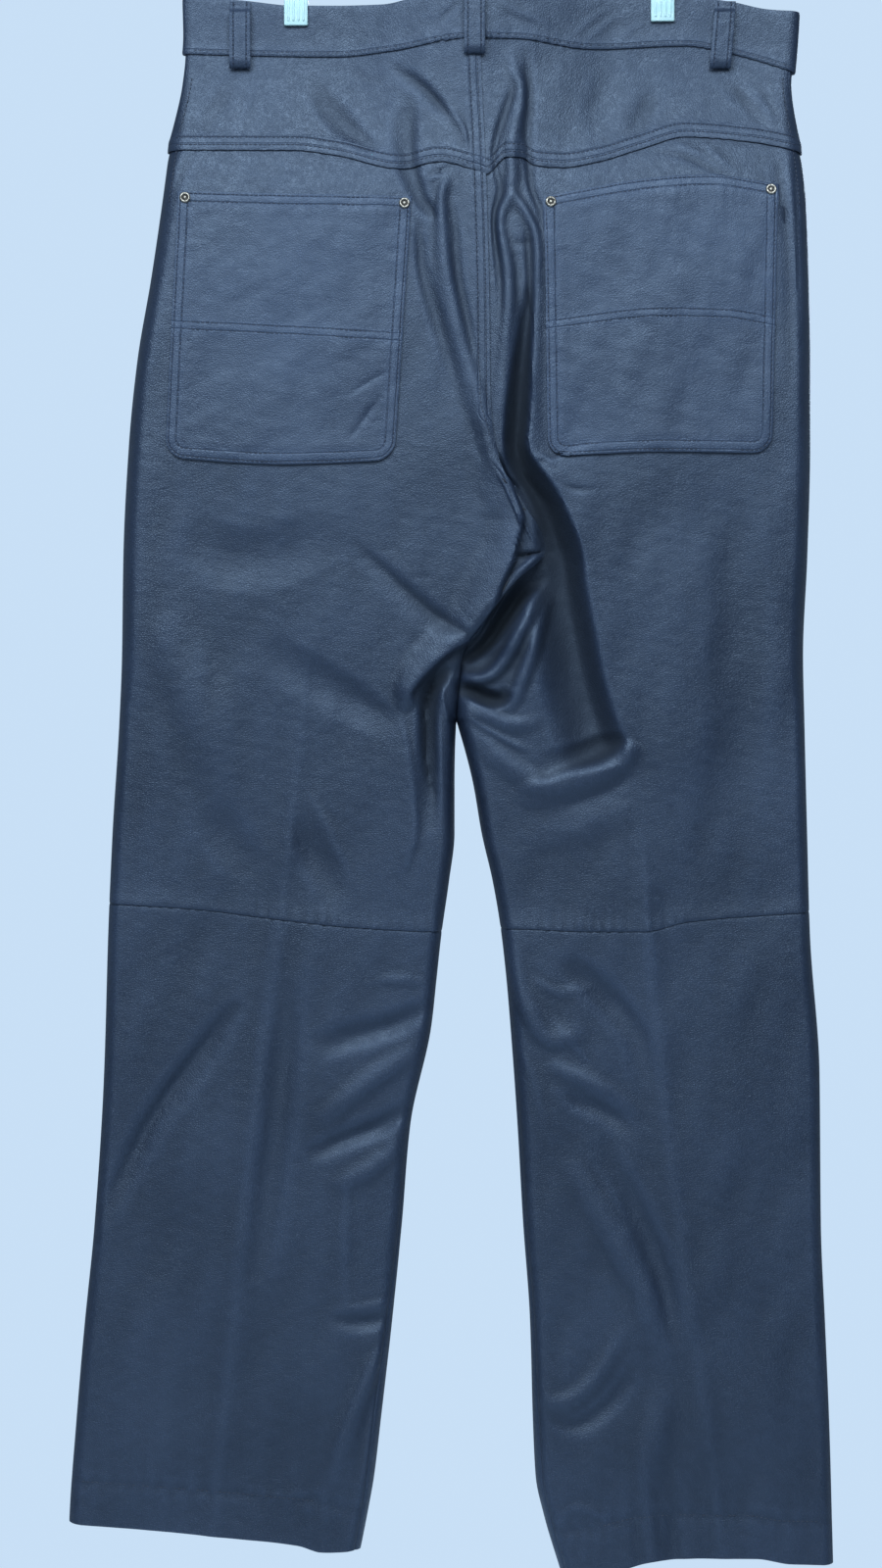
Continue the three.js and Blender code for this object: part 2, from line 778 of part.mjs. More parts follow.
// The hanger: hook, bar, and two clips, each of two jaws joined over the bar
const HOOK = { wire: 3.6, inside: 17 };
const BAR = { half: 152, height: 11, depth: 5.9, level: -74 };
const wireRing = (radius, sides) => {
  const shape = new THREE.Shape();
  shape.absarc(0, 0, radius, 0, 2 * Math.PI);
  return new THREE.Shape(shape.getPoints(sides / 2));
};
const hookLine = () => {
  const radius = HOOK.inside + HOOK.wire / 2;
  const centre = -HOOK.inside;
  const ring = spread(-0.45, 3.35, 10).map((angle) => [radius * Math.cos(angle), centre + radius * Math.sin(angle)]);
  const neck = [
    [-radius * 0.78, centre - radius * 0.72],
    [-radius * 0.3, centre - radius * 1.15],
    [-radius * 0.03, centre - radius * 1.6],
    [0, centre - radius * 2.1],
    [0, BAR.level + BAR.height / 2 + SEAM],
  ];
  return new THREE.CatmullRomCurve3([...ring, ...neck].map(([x, z]) => new THREE.Vector3(x, 0, z)));
};
const hookGeometry = new THREE.ExtrudeGeometry(wireRing(HOOK.wire / 2, 10), {
  steps: 40,
  extrudePath: hookLine(),
  bevelEnabled: false,
});
addPiece("hanger_hook", hookGeometry, materials.steel);

function roundedBox(width, height, depth, radius) {
  const shape = new THREE.Shape();
  const [w, h] = [width / 2, height / 2];
  shape.moveTo(-w + radius, -h);
  shape.lineTo(w - radius, -h);
  shape.quadraticCurveTo(w, -h, w, -h + radius);
  shape.lineTo(w, h - radius);
  shape.quadraticCurveTo(w, h, w - radius, h);
  shape.lineTo(-w + radius, h);
  shape.quadraticCurveTo(-w, h, -w, h - radius);
  shape.lineTo(-w, -h + radius);
  shape.quadraticCurveTo(-w, -h, -w + radius, -h);
  const geometry = new THREE.ExtrudeGeometry(shape, { depth, bevelEnabled: false, curveSegments: 3 });
  return geometry.rotateX(Math.PI / 2).translate(0, depth / 2, 0);
}
const bar = addPiece("hanger_bar", roundedBox(2 * BAR.half, BAR.height, BAR.depth, 4), materials.plastic);
bar.position.z = BAR.level;

const JAW = { inside: LEATHER + 0.35 + BAND_PROUD + SEAM, thickness: 3, tip: 1.2 };
function clipGeometry(low) {
  const outside = JAW.inside + JAW.thickness;
  const bridge = BAR.level + BAR.height / 2 + SEAM;
  const high = bridge + JAW.thickness;
  const half = [
    [0, high],
    [outside - JAW.tip, high],
    [outside, high - JAW.tip],
    [outside, low + JAW.tip],
    [outside - JAW.tip, low],
    [JAW.inside, low],
    [JAW.inside, bridge],
  ];
  const other = half.slice(1).reverse().map(([y, z]) => [-y, z]);
  const shape = new THREE.Shape([...half, ...other].map(([y, z]) => new THREE.Vector2(y, z)));
  const geometry = new THREE.ExtrudeGeometry(shape, { depth: CLIP_WIDTH, bevelEnabled: false });
  return geometry.translate(0, 0, -CLIP_WIDTH / 2).rotateX(Math.PI / 2).rotateZ(Math.PI / 2);
}
for (const side of Object.keys(SIDES)) {
  const clip = addPiece(`clip_${side}`, clipGeometry(WAIST_LEVEL - CLIP_BITE[side]), materials.plastic);
  clip.position.x = CLIP_X[side];
}

export default root;
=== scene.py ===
# Leather trousers that hang by two clips from a trouser hanger, seen from the back.
import math

import bpy
import numpy as np
from mathutils import Matrix, Vector


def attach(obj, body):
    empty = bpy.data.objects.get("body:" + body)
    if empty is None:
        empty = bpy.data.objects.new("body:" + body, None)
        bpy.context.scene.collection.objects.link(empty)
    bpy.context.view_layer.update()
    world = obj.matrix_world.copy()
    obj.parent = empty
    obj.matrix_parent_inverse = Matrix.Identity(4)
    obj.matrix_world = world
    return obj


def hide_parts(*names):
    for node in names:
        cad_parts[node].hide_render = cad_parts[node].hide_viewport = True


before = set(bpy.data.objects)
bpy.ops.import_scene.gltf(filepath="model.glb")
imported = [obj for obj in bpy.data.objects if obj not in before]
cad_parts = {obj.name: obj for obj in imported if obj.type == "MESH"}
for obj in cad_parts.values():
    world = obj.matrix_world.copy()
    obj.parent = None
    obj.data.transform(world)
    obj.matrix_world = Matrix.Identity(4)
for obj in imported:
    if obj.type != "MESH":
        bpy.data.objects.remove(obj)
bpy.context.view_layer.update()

# Sizes are in millimetres until a mesh is made. down is the distance below the waist's level.
MM = 0.001
LEATHER, BAND_LEATHER, POCKET_LEATHER, LOOP_LEATHER = 1.4, 1.8, 1.7, 1.7
WAIST_LEVEL = -110.0
CROTCH, FORK_RISE = 517.0, 125.0
HEM_TURN_UP = 31.0
ROUND_SHARE = 0.15
BAND_PROUD = 1.0
PRESSED = 1.95
CLIP_X = {"left": -131.0, "right": 132.0}
SIDES = {"left": 1, "right": -1}
OUTWARD = {"back": -1.0, "front": 1.0}

# down, left edge, right edge, crown of the back, crown of the front, radius of the side edges
SECTIONS = [
    [-8, -212, 231, 13, 12, 8],
    [38, -211, 228, 14, 13, 9],
    [60, -213, 225, 15, 14, 11],
    [100, -221, 230, 18, 14, 13],
    [145, -227, 235, 22, 16, 15],
    [200, -235, 237, 25, 18, 16],
    [260, -245, 238, 27, 20, 17],
    [320, -251, 238, 28, 21, 17],
    [400, -255, 236, 27, 21, 17],
    [470, -256, 233, 25, 20, 17],
    [520, -258, 234, 23, 19, 17],
    [600, -263, 236, 20, 18, 17],
    [670, -266, 238, 18, 17, 17],
    [770, -269, 245, 17, 16, 17],
    [880, -276, 246, 16, 16, 17],
    [950, -283, 249, 16, 15, 17],
    [1020, -289, 252, 16, 15, 17],
    [1090, -294, 254, 15, 14, 17],
    [1128, -295, 255, 15, 14, 17],
]
# down, inner edge of the left leg, of the right leg, how far each inseam sits round on the back
LEG_EDGES = [
    [517, -16.5, -15.5, 0, 0],
    [563, -17, -4, 0, 0],
    [598, -17, 2, 0, 0],
    [633, -21, 10, 0, 0],
    [668, -26, 16, 0, 0.01],
    [703, -30, 20, 0.01, 0.02],
    [738, -34, 23, 0.02, 0.03],
    [808, -49, 28, 0.03, 0.04],
    [878, -55, 32, 0.05, 0.05],
    [948, -62, 37, 0.08, 0.06],
    [1018, -70, 39, 0.1, 0.08],
    [1060, -75, 41, 0.1, 0.09],
    [1088, -80, 47, 0.09, 0.09],
    [1128, -88, 59, 0.08, 0.08],
]
# down, x of the centre seam
CENTRE_BACK = [
    [-10, -1], [45, 0], [110, 3], [215, 6], [300, 7], [335, 13],
    [365, 31], [396, 45], [418, 24], [445, 3], [473, -13], [517, -16],
]
CENTRE_FRONT = [[-10, 3], [200, 0], [517, -16]]
# x, down of the seam lines across the garment
BAND_TOP = [
    [-212, -2], [-174, 0], [-132, 4], [-69, 4], [-34, -3], [-4, -7],
    [36, -4], [78, -1], [132, -4], [180, 1], [208, 7], [231, 9],
]
BAND_BOTTOM_BACK = [
    [-211, 38], [-104, 40], [-62, 37], [-6, 29], [26, 29], [78, 35], [148, 32], [183, 38], [228, 52],
]
BAND_BOTTOM_FRONT = [
    [-211, 38], [-104, 41], [-62, 41], [-6, 40], [26, 40], [78, 41], [148, 42], [183, 44], [228, 52],
]
YOKE_BOTTOM = [
    [-223, 109], [-133, 109], [-101, 113], [-57, 123], [-28, 118], [0, 125], [5, 127], [20, 115],
    [30, 115], [42, 121], [60, 122], [84, 118], [116, 108], [148, 99], [196, 103], [231, 110],
]
KNEE_SEAM = [
    [-266, 648], [-202, 652], [-146, 659], [-90, 665], [-26, 668],
    [18, 666], [78, 668], [116, 668], [149, 661], [238, 654],
]
HEM = [
    [-295, 1091], [-237, 1095], [-167, 1101], [-111, 1107], [-92, 1112], [-80, 1110], [48, 1127],
    [80, 1125], [113, 1118], [148, 1116], [190, 1116], [218, 1120], [255, 1121],
]

# Folds: x, down, height (a hollow is below zero), and the spread to both sides or to west and east.
# On a fold that runs down, east is the viewer's right. On one that runs to the right, east is above it.
SOFT_FOLDS_BACK = {
    "edge of the right leg": [
        [42, 172, 0, 4], [42, 215, 1.2, 6, 5], [40, 245, 1.5, 6, 7], [37, 283, 2, 7, 10],
        [35, 320, 3, 7, 16], [37, 338, 4, 7, 30], [46, 350, 4.5, 7, 50], [57, 362, 4, 9, 60],
        [64, 384, 4, 10, 60], [71, 404, 4, 11, 60], [75, 425, 4, 12, 60], [79, 445, 4, 13, 60],
        [83, 462, 4, 14, 60], [89, 482, 4, 16, 60], [95, 504, 4, 16, 55], [101, 524, 3.5, 16, 45],
        [107, 540, 2, 14, 35], [112, 556, 0, 12, 30],
    ],
    "ridge beside the seam": [
        [22, 34, 0, 7, 5], [26, 52, 1.7, 8, 5], [31, 66, 2.5, 9, 5], [30, 80, 2.5, 9, 5],
        [26, 94, 2.5, 8, 6], [23.5, 110, 2.5, 7], [23, 128, 2.8, 6, 8], [22, 146, 1.7, 6, 8],
        [21, 156, 0, 5],
    ],
    "left branch of the ridge": [
        [24, 140, 0, 5], [18, 150, 1.8, 5, 6], [15, 162, 2.2, 5, 6], [16, 174, 2.2, 5, 6],
        [19, 186, 2.2, 6], [21, 202, 2, 6], [21, 224, 2, 7, 6], [19, 252, 2, 8, 7], [16, 285, 1.5, 8, 6],
        [13, 308, 0, 6, 5],
    ],
    "right branch of the ridge": [
        [22, 140, 0, 5], [30, 150, 2, 6, 5], [37, 162, 2.4, 6, 4], [41, 173, 2.2, 6, 4],
        [42, 190, 1.5, 5, 4], [41, 210, 0, 4],
    ],
    "trough between the branches, left": [
        [26, 180, 0, 4], [28, 202, -1, 5], [29, 224, -1.2, 5], [30, 245, 0, 5],
    ],
    "trough between the branches, right": [
        [35, 164, 0, 4], [35, 176, -1.4, 4], [36, 200, -2.2, 4], [36, 222, -1.9, 4], [34, 245, 0, 4],
    ],
    "trough beside the seam": [
        [27, 58, 0, 4], [23, 72, -1.4, 5, 4], [18, 86, -1.8, 5, 4], [14, 100, -1.8, 5, 4],
        [11, 116, -1.5, 4], [13, 128, -1.1, 4], [15, 140, -1.2, 4], [11, 156, -1.5, 3, 4],
        [11, 172, -1.7, 3, 4], [13, 190, -1.4, 4], [15, 212, -0.8, 4], [15, 240, 0, 4],
    ],
    "trough right of the ridge": [
        [33, 34, 0, 4, 5], [35, 55, -1.7, 4, 6], [35.5, 80, -2.2, 4, 7], [34, 100, -2.2, 4, 7],
        [35.5, 120, -2.2, 4, 6], [37.5, 138, -1.9, 4, 5], [44, 155, -1.4, 4, 3], [46, 172, 0, 3],
    ],
    "ridge of the left seat": [
        [-19, 131, 0, 4, 5], [-25, 136, 2, 5, 6], [-27, 147, 2.6, 5, 6], [-26, 165, 2.9, 8, 6],
        [-24, 190, 2.9, 10, 6], [-20, 215, 2.9, 12, 7], [-13, 248, 2.9, 13, 8], [-3, 283, 3.2, 13, 8],
        [6, 318, 2, 10, 6], [13, 338, 0, 10, 5],
    ],
    "trough beside the seat's ridge": [
        [-21, 144, 0, 4], [-17, 165, -1.3, 4, 5], [-16, 185, -1.6, 5], [-14, 205, -1.6, 5],
        [-9, 230, -1.3, 5], [-3, 258, 0, 4],
    ],
    "trough down the left yoke": [
        [-49, 66, 0, 12, 9], [-51, 92, -3, 14, 10], [-49, 120, -3.4, 13, 9], [-43, 141, -2.9, 10, 7],
        [-35, 153, -2.3, 9, 4], [-30, 162, 0, 6, 3],
    ],
    "trough beside the left pocket": [
        [-43, 158, 0, 5], [-42, 180, -1.7, 5, 6], [-40, 200, -2, 5, 8], [-34, 222, -2, 6, 9],
        [-25, 248, -1.6, 8, 9], [-14, 282, 0, 8],
    ],
    "lip of the left seat": [
        [5, 316, 0, 20, 3], [14, 338, 2.5, 22, 3], [22, 357, 4, 24, 3], [29.5, 374, 5.5, 26, 2.5],
        [27, 390, 6.5, 26, 2.5], [23.5, 404, 7, 28, 3], [14, 422, 7, 28, 3.5], [7, 438, 7, 28, 4],
        [-2, 455, 7.5, 28, 4], [-18, 466, 7.5, 24, 4], [-30, 475, 7.5, 22, 5], [-41, 486, 7, 20, 5],
        [-48.5, 496, 6.5, 16, 5], [-49.5, 503, 4, 12, 5], [-46, 508, 0, 10, 5],
    ],
    "hollow under the lip": [
        [-20, 478, 0, 6], [-27, 486, -5, 7, 8], [-35, 499, -8, 9], [-36, 520, -7, 9],
        [-35, 548, -5, 10, 9], [-34, 600, 0, 10, 8],
    ],
    "roll under the seat": [
        [-16, 483, 0, 6], [-8, 487, 5, 6, 7], [2, 487, 7, 7, 8], [11, 482, 7.5, 8], [20, 470, 7.5, 9, 8],
        [30, 452, 6.5, 9, 8], [38, 437, 4, 8], [44, 424, 0, 7],
    ],
    "second roll": [
        [19, 512, 0, 8], [27, 497, 3.5, 8], [34, 478, 4.5, 8], [41, 458, 4.5, 8], [46, 440, 3, 7],
        [49, 427, 0, 7],
    ],
    "hollow under the roll": [
        [-17, 497, 0, 8, 6], [-7, 496, -8, 8, 7], [6, 501, -10, 8], [15, 502, -7, 8], [22, 496, 0, 8],
    ],
    "stripe under the hollow": [
        [-14, 506, 0, 6, 5], [4, 513, 2.2, 8, 6], [24, 520, 2.2, 9, 7], [46, 518, 0, 8],
    ],
    "fold at the tip": [
        [22, 572, 0, 14, 10], [42, 566, 3, 18, 10], [58, 561, 4.5, 20, 10], [75, 555, 5, 20, 9],
        [90, 549, 5, 19, 8], [100, 543, 4, 16, 8], [107, 537, 2.5, 12, 6], [110, 531, 0, 8, 5],
    ],
    "left arm of the tip": [
        [-6, 522, 0, 9, 8], [8, 538, 2, 12, 9], [24, 551, 2.6, 13, 10], [40, 561, 2.2, 13, 10],
        [54, 567, 0, 9, 8],
    ],
    "second fold under the tip": [
        [30, 603, 0, 14, 8], [55, 597, 0.8, 17, 12], [82, 590, 1.1, 17, 12], [102, 582, 0.8, 15, 10],
        [113, 572, 0, 10, 7],
    ],
    "hollow under the tip": [
        [42, 578, 0, 9], [68, 574, -0.8, 10, 9], [94, 566, -1, 10, 9], [110, 555, 0, 8],
    ],
    "hollow across the left thigh": [[-195, 577, 0, 18], [-176, 606, -2.2, 20], [-155, 636, 0, 18]],
    "facet beside the left crease": [
        [-132, 586, 0, 12, 14], [-116, 618, -2.6, 13, 17], [-100, 652, 0, 12, 16],
    ],
    "hollow at the inner thigh": [
        [-160, 462, 0, 18, 16], [-118, 486, -3, 22, 18], [-82, 506, -3, 20, 14], [-58, 524, 0, 14, 10],
    ],
    "trough down the right thigh": [
        [172, 350, 0, 24], [180, 405, -3, 26, 28], [186, 520, -3, 26, 28], [180, 610, 0, 24],
    ],
    "belly of the right thigh": [
        [120, 380, 0, 26, 28], [136, 450, 2.5, 28, 30], [140, 540, 2.5, 28, 30], [134, 620, 0, 26],
    ],
    "hollow under the left pocket": [
        [-210, 380, 0, 24], [-176, 402, -3, 28, 26], [-130, 396, -2.4, 26], [-96, 380, 0, 22],
    ],
    "belly of the left thigh": [
        [-226, 440, 0, 22, 24], [-206, 490, 3, 26, 28], [-186, 545, 2.4, 26, 28], [-172, 590, 0, 22],
    ],
    "left yoke drag, outer": [[-174, 52, 0, 8], [-186, 74, -2.8, 10], [-198, 98, 0, 8]],
    "left yoke ridge, outer": [[-160, 50, 0, 8], [-168, 74, 1.8, 10], [-178, 100, 0, 8]],
    "left yoke drag, middle": [
        [-124, 50, 0, 9], [-114, 68, -4, 13, 12], [-100, 86, -4.4, 13, 12], [-86, 100, -3, 11, 9],
        [-72, 112, 0, 8, 6],
    ],
    "left yoke drag, upper": [[-102, 48, 0, 6], [-86, 55, -1.6, 6, 7], [-66, 62, 0, 6]],
    "right yoke ridge": [[116, 44, 0, 10], [110, 64, 3, 13, 12], [102, 84, 3, 13, 12], [92, 104, 0, 10]],
    "right yoke trough, inner": [[94, 46, 0, 9], [86, 70, -2.4, 11], [78, 98, 0, 9]],
    "right yoke trough, outer": [[130, 56, 0, 8], [122, 78, -2.4, 10], [110, 104, 0, 8]],
    "right yoke drag, bright": [[184, 50, 0, 5, 6], [195, 64, 2.2, 6], [204, 78, 2.4, 6], [213, 94, 0, 5]],
    "right yoke drag, dark": [[176, 54, 0, 5], [188, 70, -2, 6, 5], [199, 90, 0, 5]],
    "fold down the right side": [
        [216, 112, 0, 4], [214, 130, -2, 4], [219, 165, -1.8, 4], [222, 225, -1.2, 5, 4],
        [222, 290, 0, 4],
    ],
    "fold down the left side": [
        [-205, 110, 0, 5], [-213, 128, -1.4, 6], [-218, 150, -0.8, 5], [-226, 200, 0, 5, 4],
    ],
    "left shin fold": [
        [-170, 716, 0, 9], [-200, 755, -4, 9, 16], [-237, 806, -4, 9, 16], [-269, 878, 0, 9],
    ],
    "right shin fold": [[19, 675, 0, 8, 10], [32, 717, 3, 8, 12], [50, 746, 3, 8, 12], [78, 738, 0, 8, 12]],
    "hollow at the left shin": [
        [-32, 718, 0, 8], [-58, 734, -4.5, 12, 10], [-92, 744, -3.5, 14, 12], [-120, 752, 0, 12],
    ],
    "ridge at the left shin": [
        [-44, 750, 0, 10], [-64, 766, 3, 12, 10], [-92, 786, 3, 12, 10], [-114, 806, 0, 10],
    ],
    "second hollow at the left shin": [
        [-48, 790, 0, 8], [-68, 806, -4.5, 10, 9], [-98, 818, -4, 10, 9], [-124, 830, 0, 9],
    ],
    "second ridge at the left shin": [[-56, 818, 0, 8], [-78, 838, 2.8, 10, 9], [-106, 852, 0, 9]],
    "hollow low on the left shin": [[-62, 940, 0, 7, 6], [-80, 948, -4, 9, 7], [-106, 944, 0, 8, 7]],
    "ridge beside the left inseam": [
        [-64, 956, 0, 7], [-78, 986, 2.8, 9, 8], [-96, 1030, 2.2, 9, 8], [-106, 1072, 0, 8],
    ],
    "hollow beside the left inseam": [[-70, 978, 0, 5], [-80, 1018, -2.2, 6], [-90, 1074, 0, 6]],
    "hollow beside the left crease": [
        [-136, 700, 0, 14], [-140, 760, -3, 16], [-150, 850, -2.4, 16], [-160, 920, 0, 14],
    ],
    "hollow at the right shin": [
        [58, 688, 0, 12], [86, 710, -4, 14], [112, 742, -2.6, 14, 12], [120, 778, 0, 12, 10],
    ],
    "ridge at the right shin": [
        [48, 762, 0, 7], [72, 772, 3, 9, 8], [98, 786, 2.4, 9, 8], [114, 802, 0, 8],
    ],
    "second hollow at the right shin": [[60, 784, 0, 8, 7], [84, 794, -3.6, 9, 8], [108, 810, 0, 8]],
    "drag down the right shin": [
        [62, 826, 0, 12], [92, 878, 2.6, 15, 13], [120, 930, 2.6, 15, 13], [134, 985, 0, 12],
    ],
    "hollow down the right shin": [
        [86, 818, 0, 11], [112, 866, -3, 13, 12], [132, 918, -3, 12], [140, 965, 0, 10],
    ],
    "ridge beside the right inseam": [
        [42, 1000, 0, 7], [62, 1004, 2.6, 9, 8], [84, 986, 2.8, 9, 8], [104, 950, 0, 8],
    ],
    "hollow beside the right inseam": [
        [50, 1014, 0, 7], [72, 1020, -2.6, 9, 8], [96, 1002, -2.4, 9, 8], [112, 976, 0, 8],
    ],
    "patch over the right hem": [[124, 1068, 0, 13], [125, 1030, 2.4, 16, 14], [130, 984, 0, 13]],
    "fold up from the right hem": [[124, 1119, 1.5, 9], [119, 1070, 1.5, 9], [114, 1010, 0, 9]],
    "hollow up from the right hem": [[140, 1118, -1.5, 9], [137, 1070, -1, 8], [132, 1030, 0, 8]],
}
CRISP_FOLDS_BACK = {
    "crease of the left leg": [
        [-119, 455, 0, 14], [-127, 530, 1.2, 16], [-141, 654, 1.6, 17], [-156, 773, 1.3, 16],
        [-174, 934, 1.3, 16], [-191, 1105, 1, 15],
    ],
    "crease of the right leg": [
        [113, 545, 0, 12, 14], [121, 668, 1.8, 15], [131, 773, 1.4, 16], [148, 913, 1.3, 16],
        [163, 1018, 1, 15], [175, 1118, 0.8, 15],
    ],
    "drag across the left seat": [
        [-92, 388, 0, 10, 8], [-62, 416, -2.6, 16, 9], [-29, 444, -3.8, 16, 9], [-3, 459, -1, 8, 7],
    ],
    "gap under the seam's tip": [
        [23, 401, 0, 3, 4], [33, 400.5, -4, 3.5, 5], [41, 398.8, -3, 2.5, 3.5], [44, 398, 0, 2],
    ],
    "flap under the seam's tip": [
        [46, 398.6, 0, 3, 2], [38, 404, 2.6, 5, 2.5], [30, 411, 3.2, 6, 3], [22, 420, 2.6, 5, 3],
        [13, 432, 2, 4, 3], [4, 447, 0, 3],
    ],
    "first gather at the seam": [
        [8, 330, 0, 2], [14, 339, 1.3, 2], [21, 351, 1.5, 2], [28, 367, 1.5, 2], [35, 384, 1.3, 2],
        [40, 393, 0, 2],
    ],
    "second gather at the seam": [
        [11, 338, 0, 2], [18, 351, 1.2, 2], [25, 367, 1.4, 2], [31, 383, 1.2, 2], [34, 394, 0, 2],
    ],
    "third gather at the seam": [[23.5, 357, 0, 2, 1.6], [29.5, 379, 1.2, 2], [31, 396, 0, 2]],
    "left pocket's crease, first": [[-60, 268, 0, 4, 3], [-78, 278, -1.1, 6, 3], [-96, 290, 0, 4, 3]],
    "left pocket's crease, second": [[-66, 284, 0, 5, 4], [-79, 301, -1.4, 7, 4], [-94, 322, 0, 5, 4]],
    "inner crease of the curl": [
        [-29, 478, 0, 3], [-33, 492, -2.4, 3], [-37.5, 506, -2.6, 3, 3.5], [-38, 530, -2.4, 3, 4],
        [-36, 555, -1.8, 4], [-30, 580, 0, 4],
    ],
    "fold at the inner thigh": [
        [-56, 508, 0, 16, 4], [-50, 540, 1.6, 22, 5], [-46, 575, 2, 26, 5], [-46, 602, 2, 24, 6],
        [-56, 632, 0, 18, 6],
    ],
    "strand beside the gap": [
        [-27, 486, 0, 4], [-25, 505, 1.2, 5, 4], [-21, 524, 1.2, 5, 4], [-19, 560, 0, 4],
    ],
    "second strand beside the gap": [[-30, 505, 0, 4], [-29, 535, 1, 5], [-26, 580, 0, 5]],
    "crease from the inseam, first": [[-13, 500, 0, 3], [0, 507, 1.4, 4], [16, 513, 0, 4]],
    "crease from the inseam, second": [
        [-12, 512, 0, 4], [6, 524, 1.4, 5], [24, 534, 1.2, 5], [38, 540, 0, 4],
    ],
    "dimple under the right pocket": [[58, 350, 0, 3, 4], [70, 354, -1.2, 4], [84, 353, 0, 3]],
    "fold under the pocket's corner": [[34, 336, 0, 4], [44, 330, 1.6, 5, 4], [56, 337, 0, 5, 4]],
    "trough over the left yoke's ridge": [
        [-66, 47, 0, 7, 6], [-51, 56, -2.6, 10, 7], [-38, 66, -3.4, 12, 6], [-27, 78, -2.8, 11, 5],
        [-18, 90, 0, 7, 4],
    ],
    "line over the left yoke's ridge": [
        [-26, 73, 0, 4, 3], [-17, 85, 1.5, 6, 3], [-10, 97, 1.6, 7, 3], [-8, 114, 0, 6, 3],
    ],
    "crease under the left yoke": [[-38, 129, 0, 3], [-28, 125.5, -1.3, 3], [-17, 124, 0, 3]],
    "ridge under the left yoke": [[-40, 134, 0, 3], [-30, 130, 1.3, 4, 3], [-21, 131, 0, 3]],
    "fold between the branches": [[20, 176, 0, 4, 3], [31, 178, -1, 6, 4], [40, 174, 0, 4, 3]],
    "left loop's line": [[-167, 52, 0, 3], [-169, 72, -1.2, 4], [-177, 94, 0, 3]],
    "right loop's line": [[166, 54, 0, 3, 4], [176, 68, 1.4, 4], [185, 80, 0, 3]],
    "sweep under the right yoke, first": [
        [118, 109, 0, 4, 3], [144, 114, -1.4, 5, 4], [164, 123, -1.4, 5, 4], [184, 134, 0, 4, 3],
    ],
    "sweep under the right yoke, second": [[160, 103, 0, 4, 3], [170, 115, 1.5, 5, 4], [186, 129, 0, 4, 3]],
    "sweep under the right yoke, third": [[134, 103, 0, 4, 3], [150, 109, 1.2, 4, 3], [168, 117, 0, 3]],
    "line down the right side": [
        [224, 112, 0, 3], [226, 140, -1.4, 3], [227, 190, -1.2, 3], [228, 260, 0, 3],
    ],
    "top of the left facet": [[-128, 560, 0, 6, 4], [-106, 596, 1, 10, 6], [-88, 636, 0, 8, 5]],
    "shin line, left": [
        [-168, 714, 0, 4, 5], [-198, 750, -1.4, 4, 6], [-230, 796, -1.4, 4, 6], [-262, 856, 0, 4, 5],
    ],
    "line down the left shin": [[-94, 826, 0, 5, 4], [-95, 880, 1.3, 7, 4], [-96, 945, 0, 5, 4]],
    "wrinkle at the left shin": [[-34, 706, 0, 4], [-56, 702, 1.6, 6, 5], [-84, 706, 0, 5, 4]],
    "wrinkle low on the left shin": [[-60, 931, 0, 4], [-78, 936, 1.6, 5], [-104, 940, 0, 4]],
    "wrinkle at the right shin, first": [[38, 700, 0, 4], [58, 712, 1.4, 5], [88, 706, 0, 5, 4]],
    "wrinkle at the right shin, second": [[42, 722, 0, 4], [62, 742, 1.4, 5], [80, 764, 0, 4]],
    "wrinkle at the right shin, third": [[28, 748, 0, 4], [40, 776, 1, 5], [46, 812, 0, 4]],
    "wrinkle at the right hem": [[56, 1086, 0, 4], [72, 1080, 1.6, 5], [94, 1088, 0, 4]],
    "wrinkle at the left hem": [[-110, 1066, 0, 4], [-140, 1072, 1.2, 5], [-168, 1066, 0, 4]],
}
# Hollows whose east side ends in a crisp edge.
LEDGES_BACK = {
    "valley beside the seam": [
        [36, 205, 0, 5, 4], [33, 240, -6, 7, 6], [30, 270, -11, 9, 8], [28, 300, -14, 11, 9],
        [27, 322, -15, 11, 8], [31, 338, -16, 11], [42, 358, -17, 12, 14], [50, 376, -18, 14, 15],
        [58, 399, -18, 22, 16], [60, 423, -17, 28, 17], [66, 458, -16, 30, 18], [73, 493, -14, 32, 18],
        [82, 522, -11, 34, 18], [88, 538, -7, 32, 18], [92, 552, 0, 26, 16],
    ],
    "hollow between lip and roll": [
        [-13, 474, 0, 5], [-5, 471, -7, 6, 5], [6, 462, -14, 7, 6], [15, 449, -17, 8, 7],
        [26, 433, -16, 8], [38, 419, -8, 9], [48, 410, 0, 9],
    ],
    "hollow over the tip": [
        [40, 548, 0, 8, 9], [58, 546, -2, 9, 10], [76, 542, -4, 9, 11], [90, 536, -4, 8, 11],
        [99, 531, -2.5, 7, 8], [104, 527, 0, 5],
    ],
}
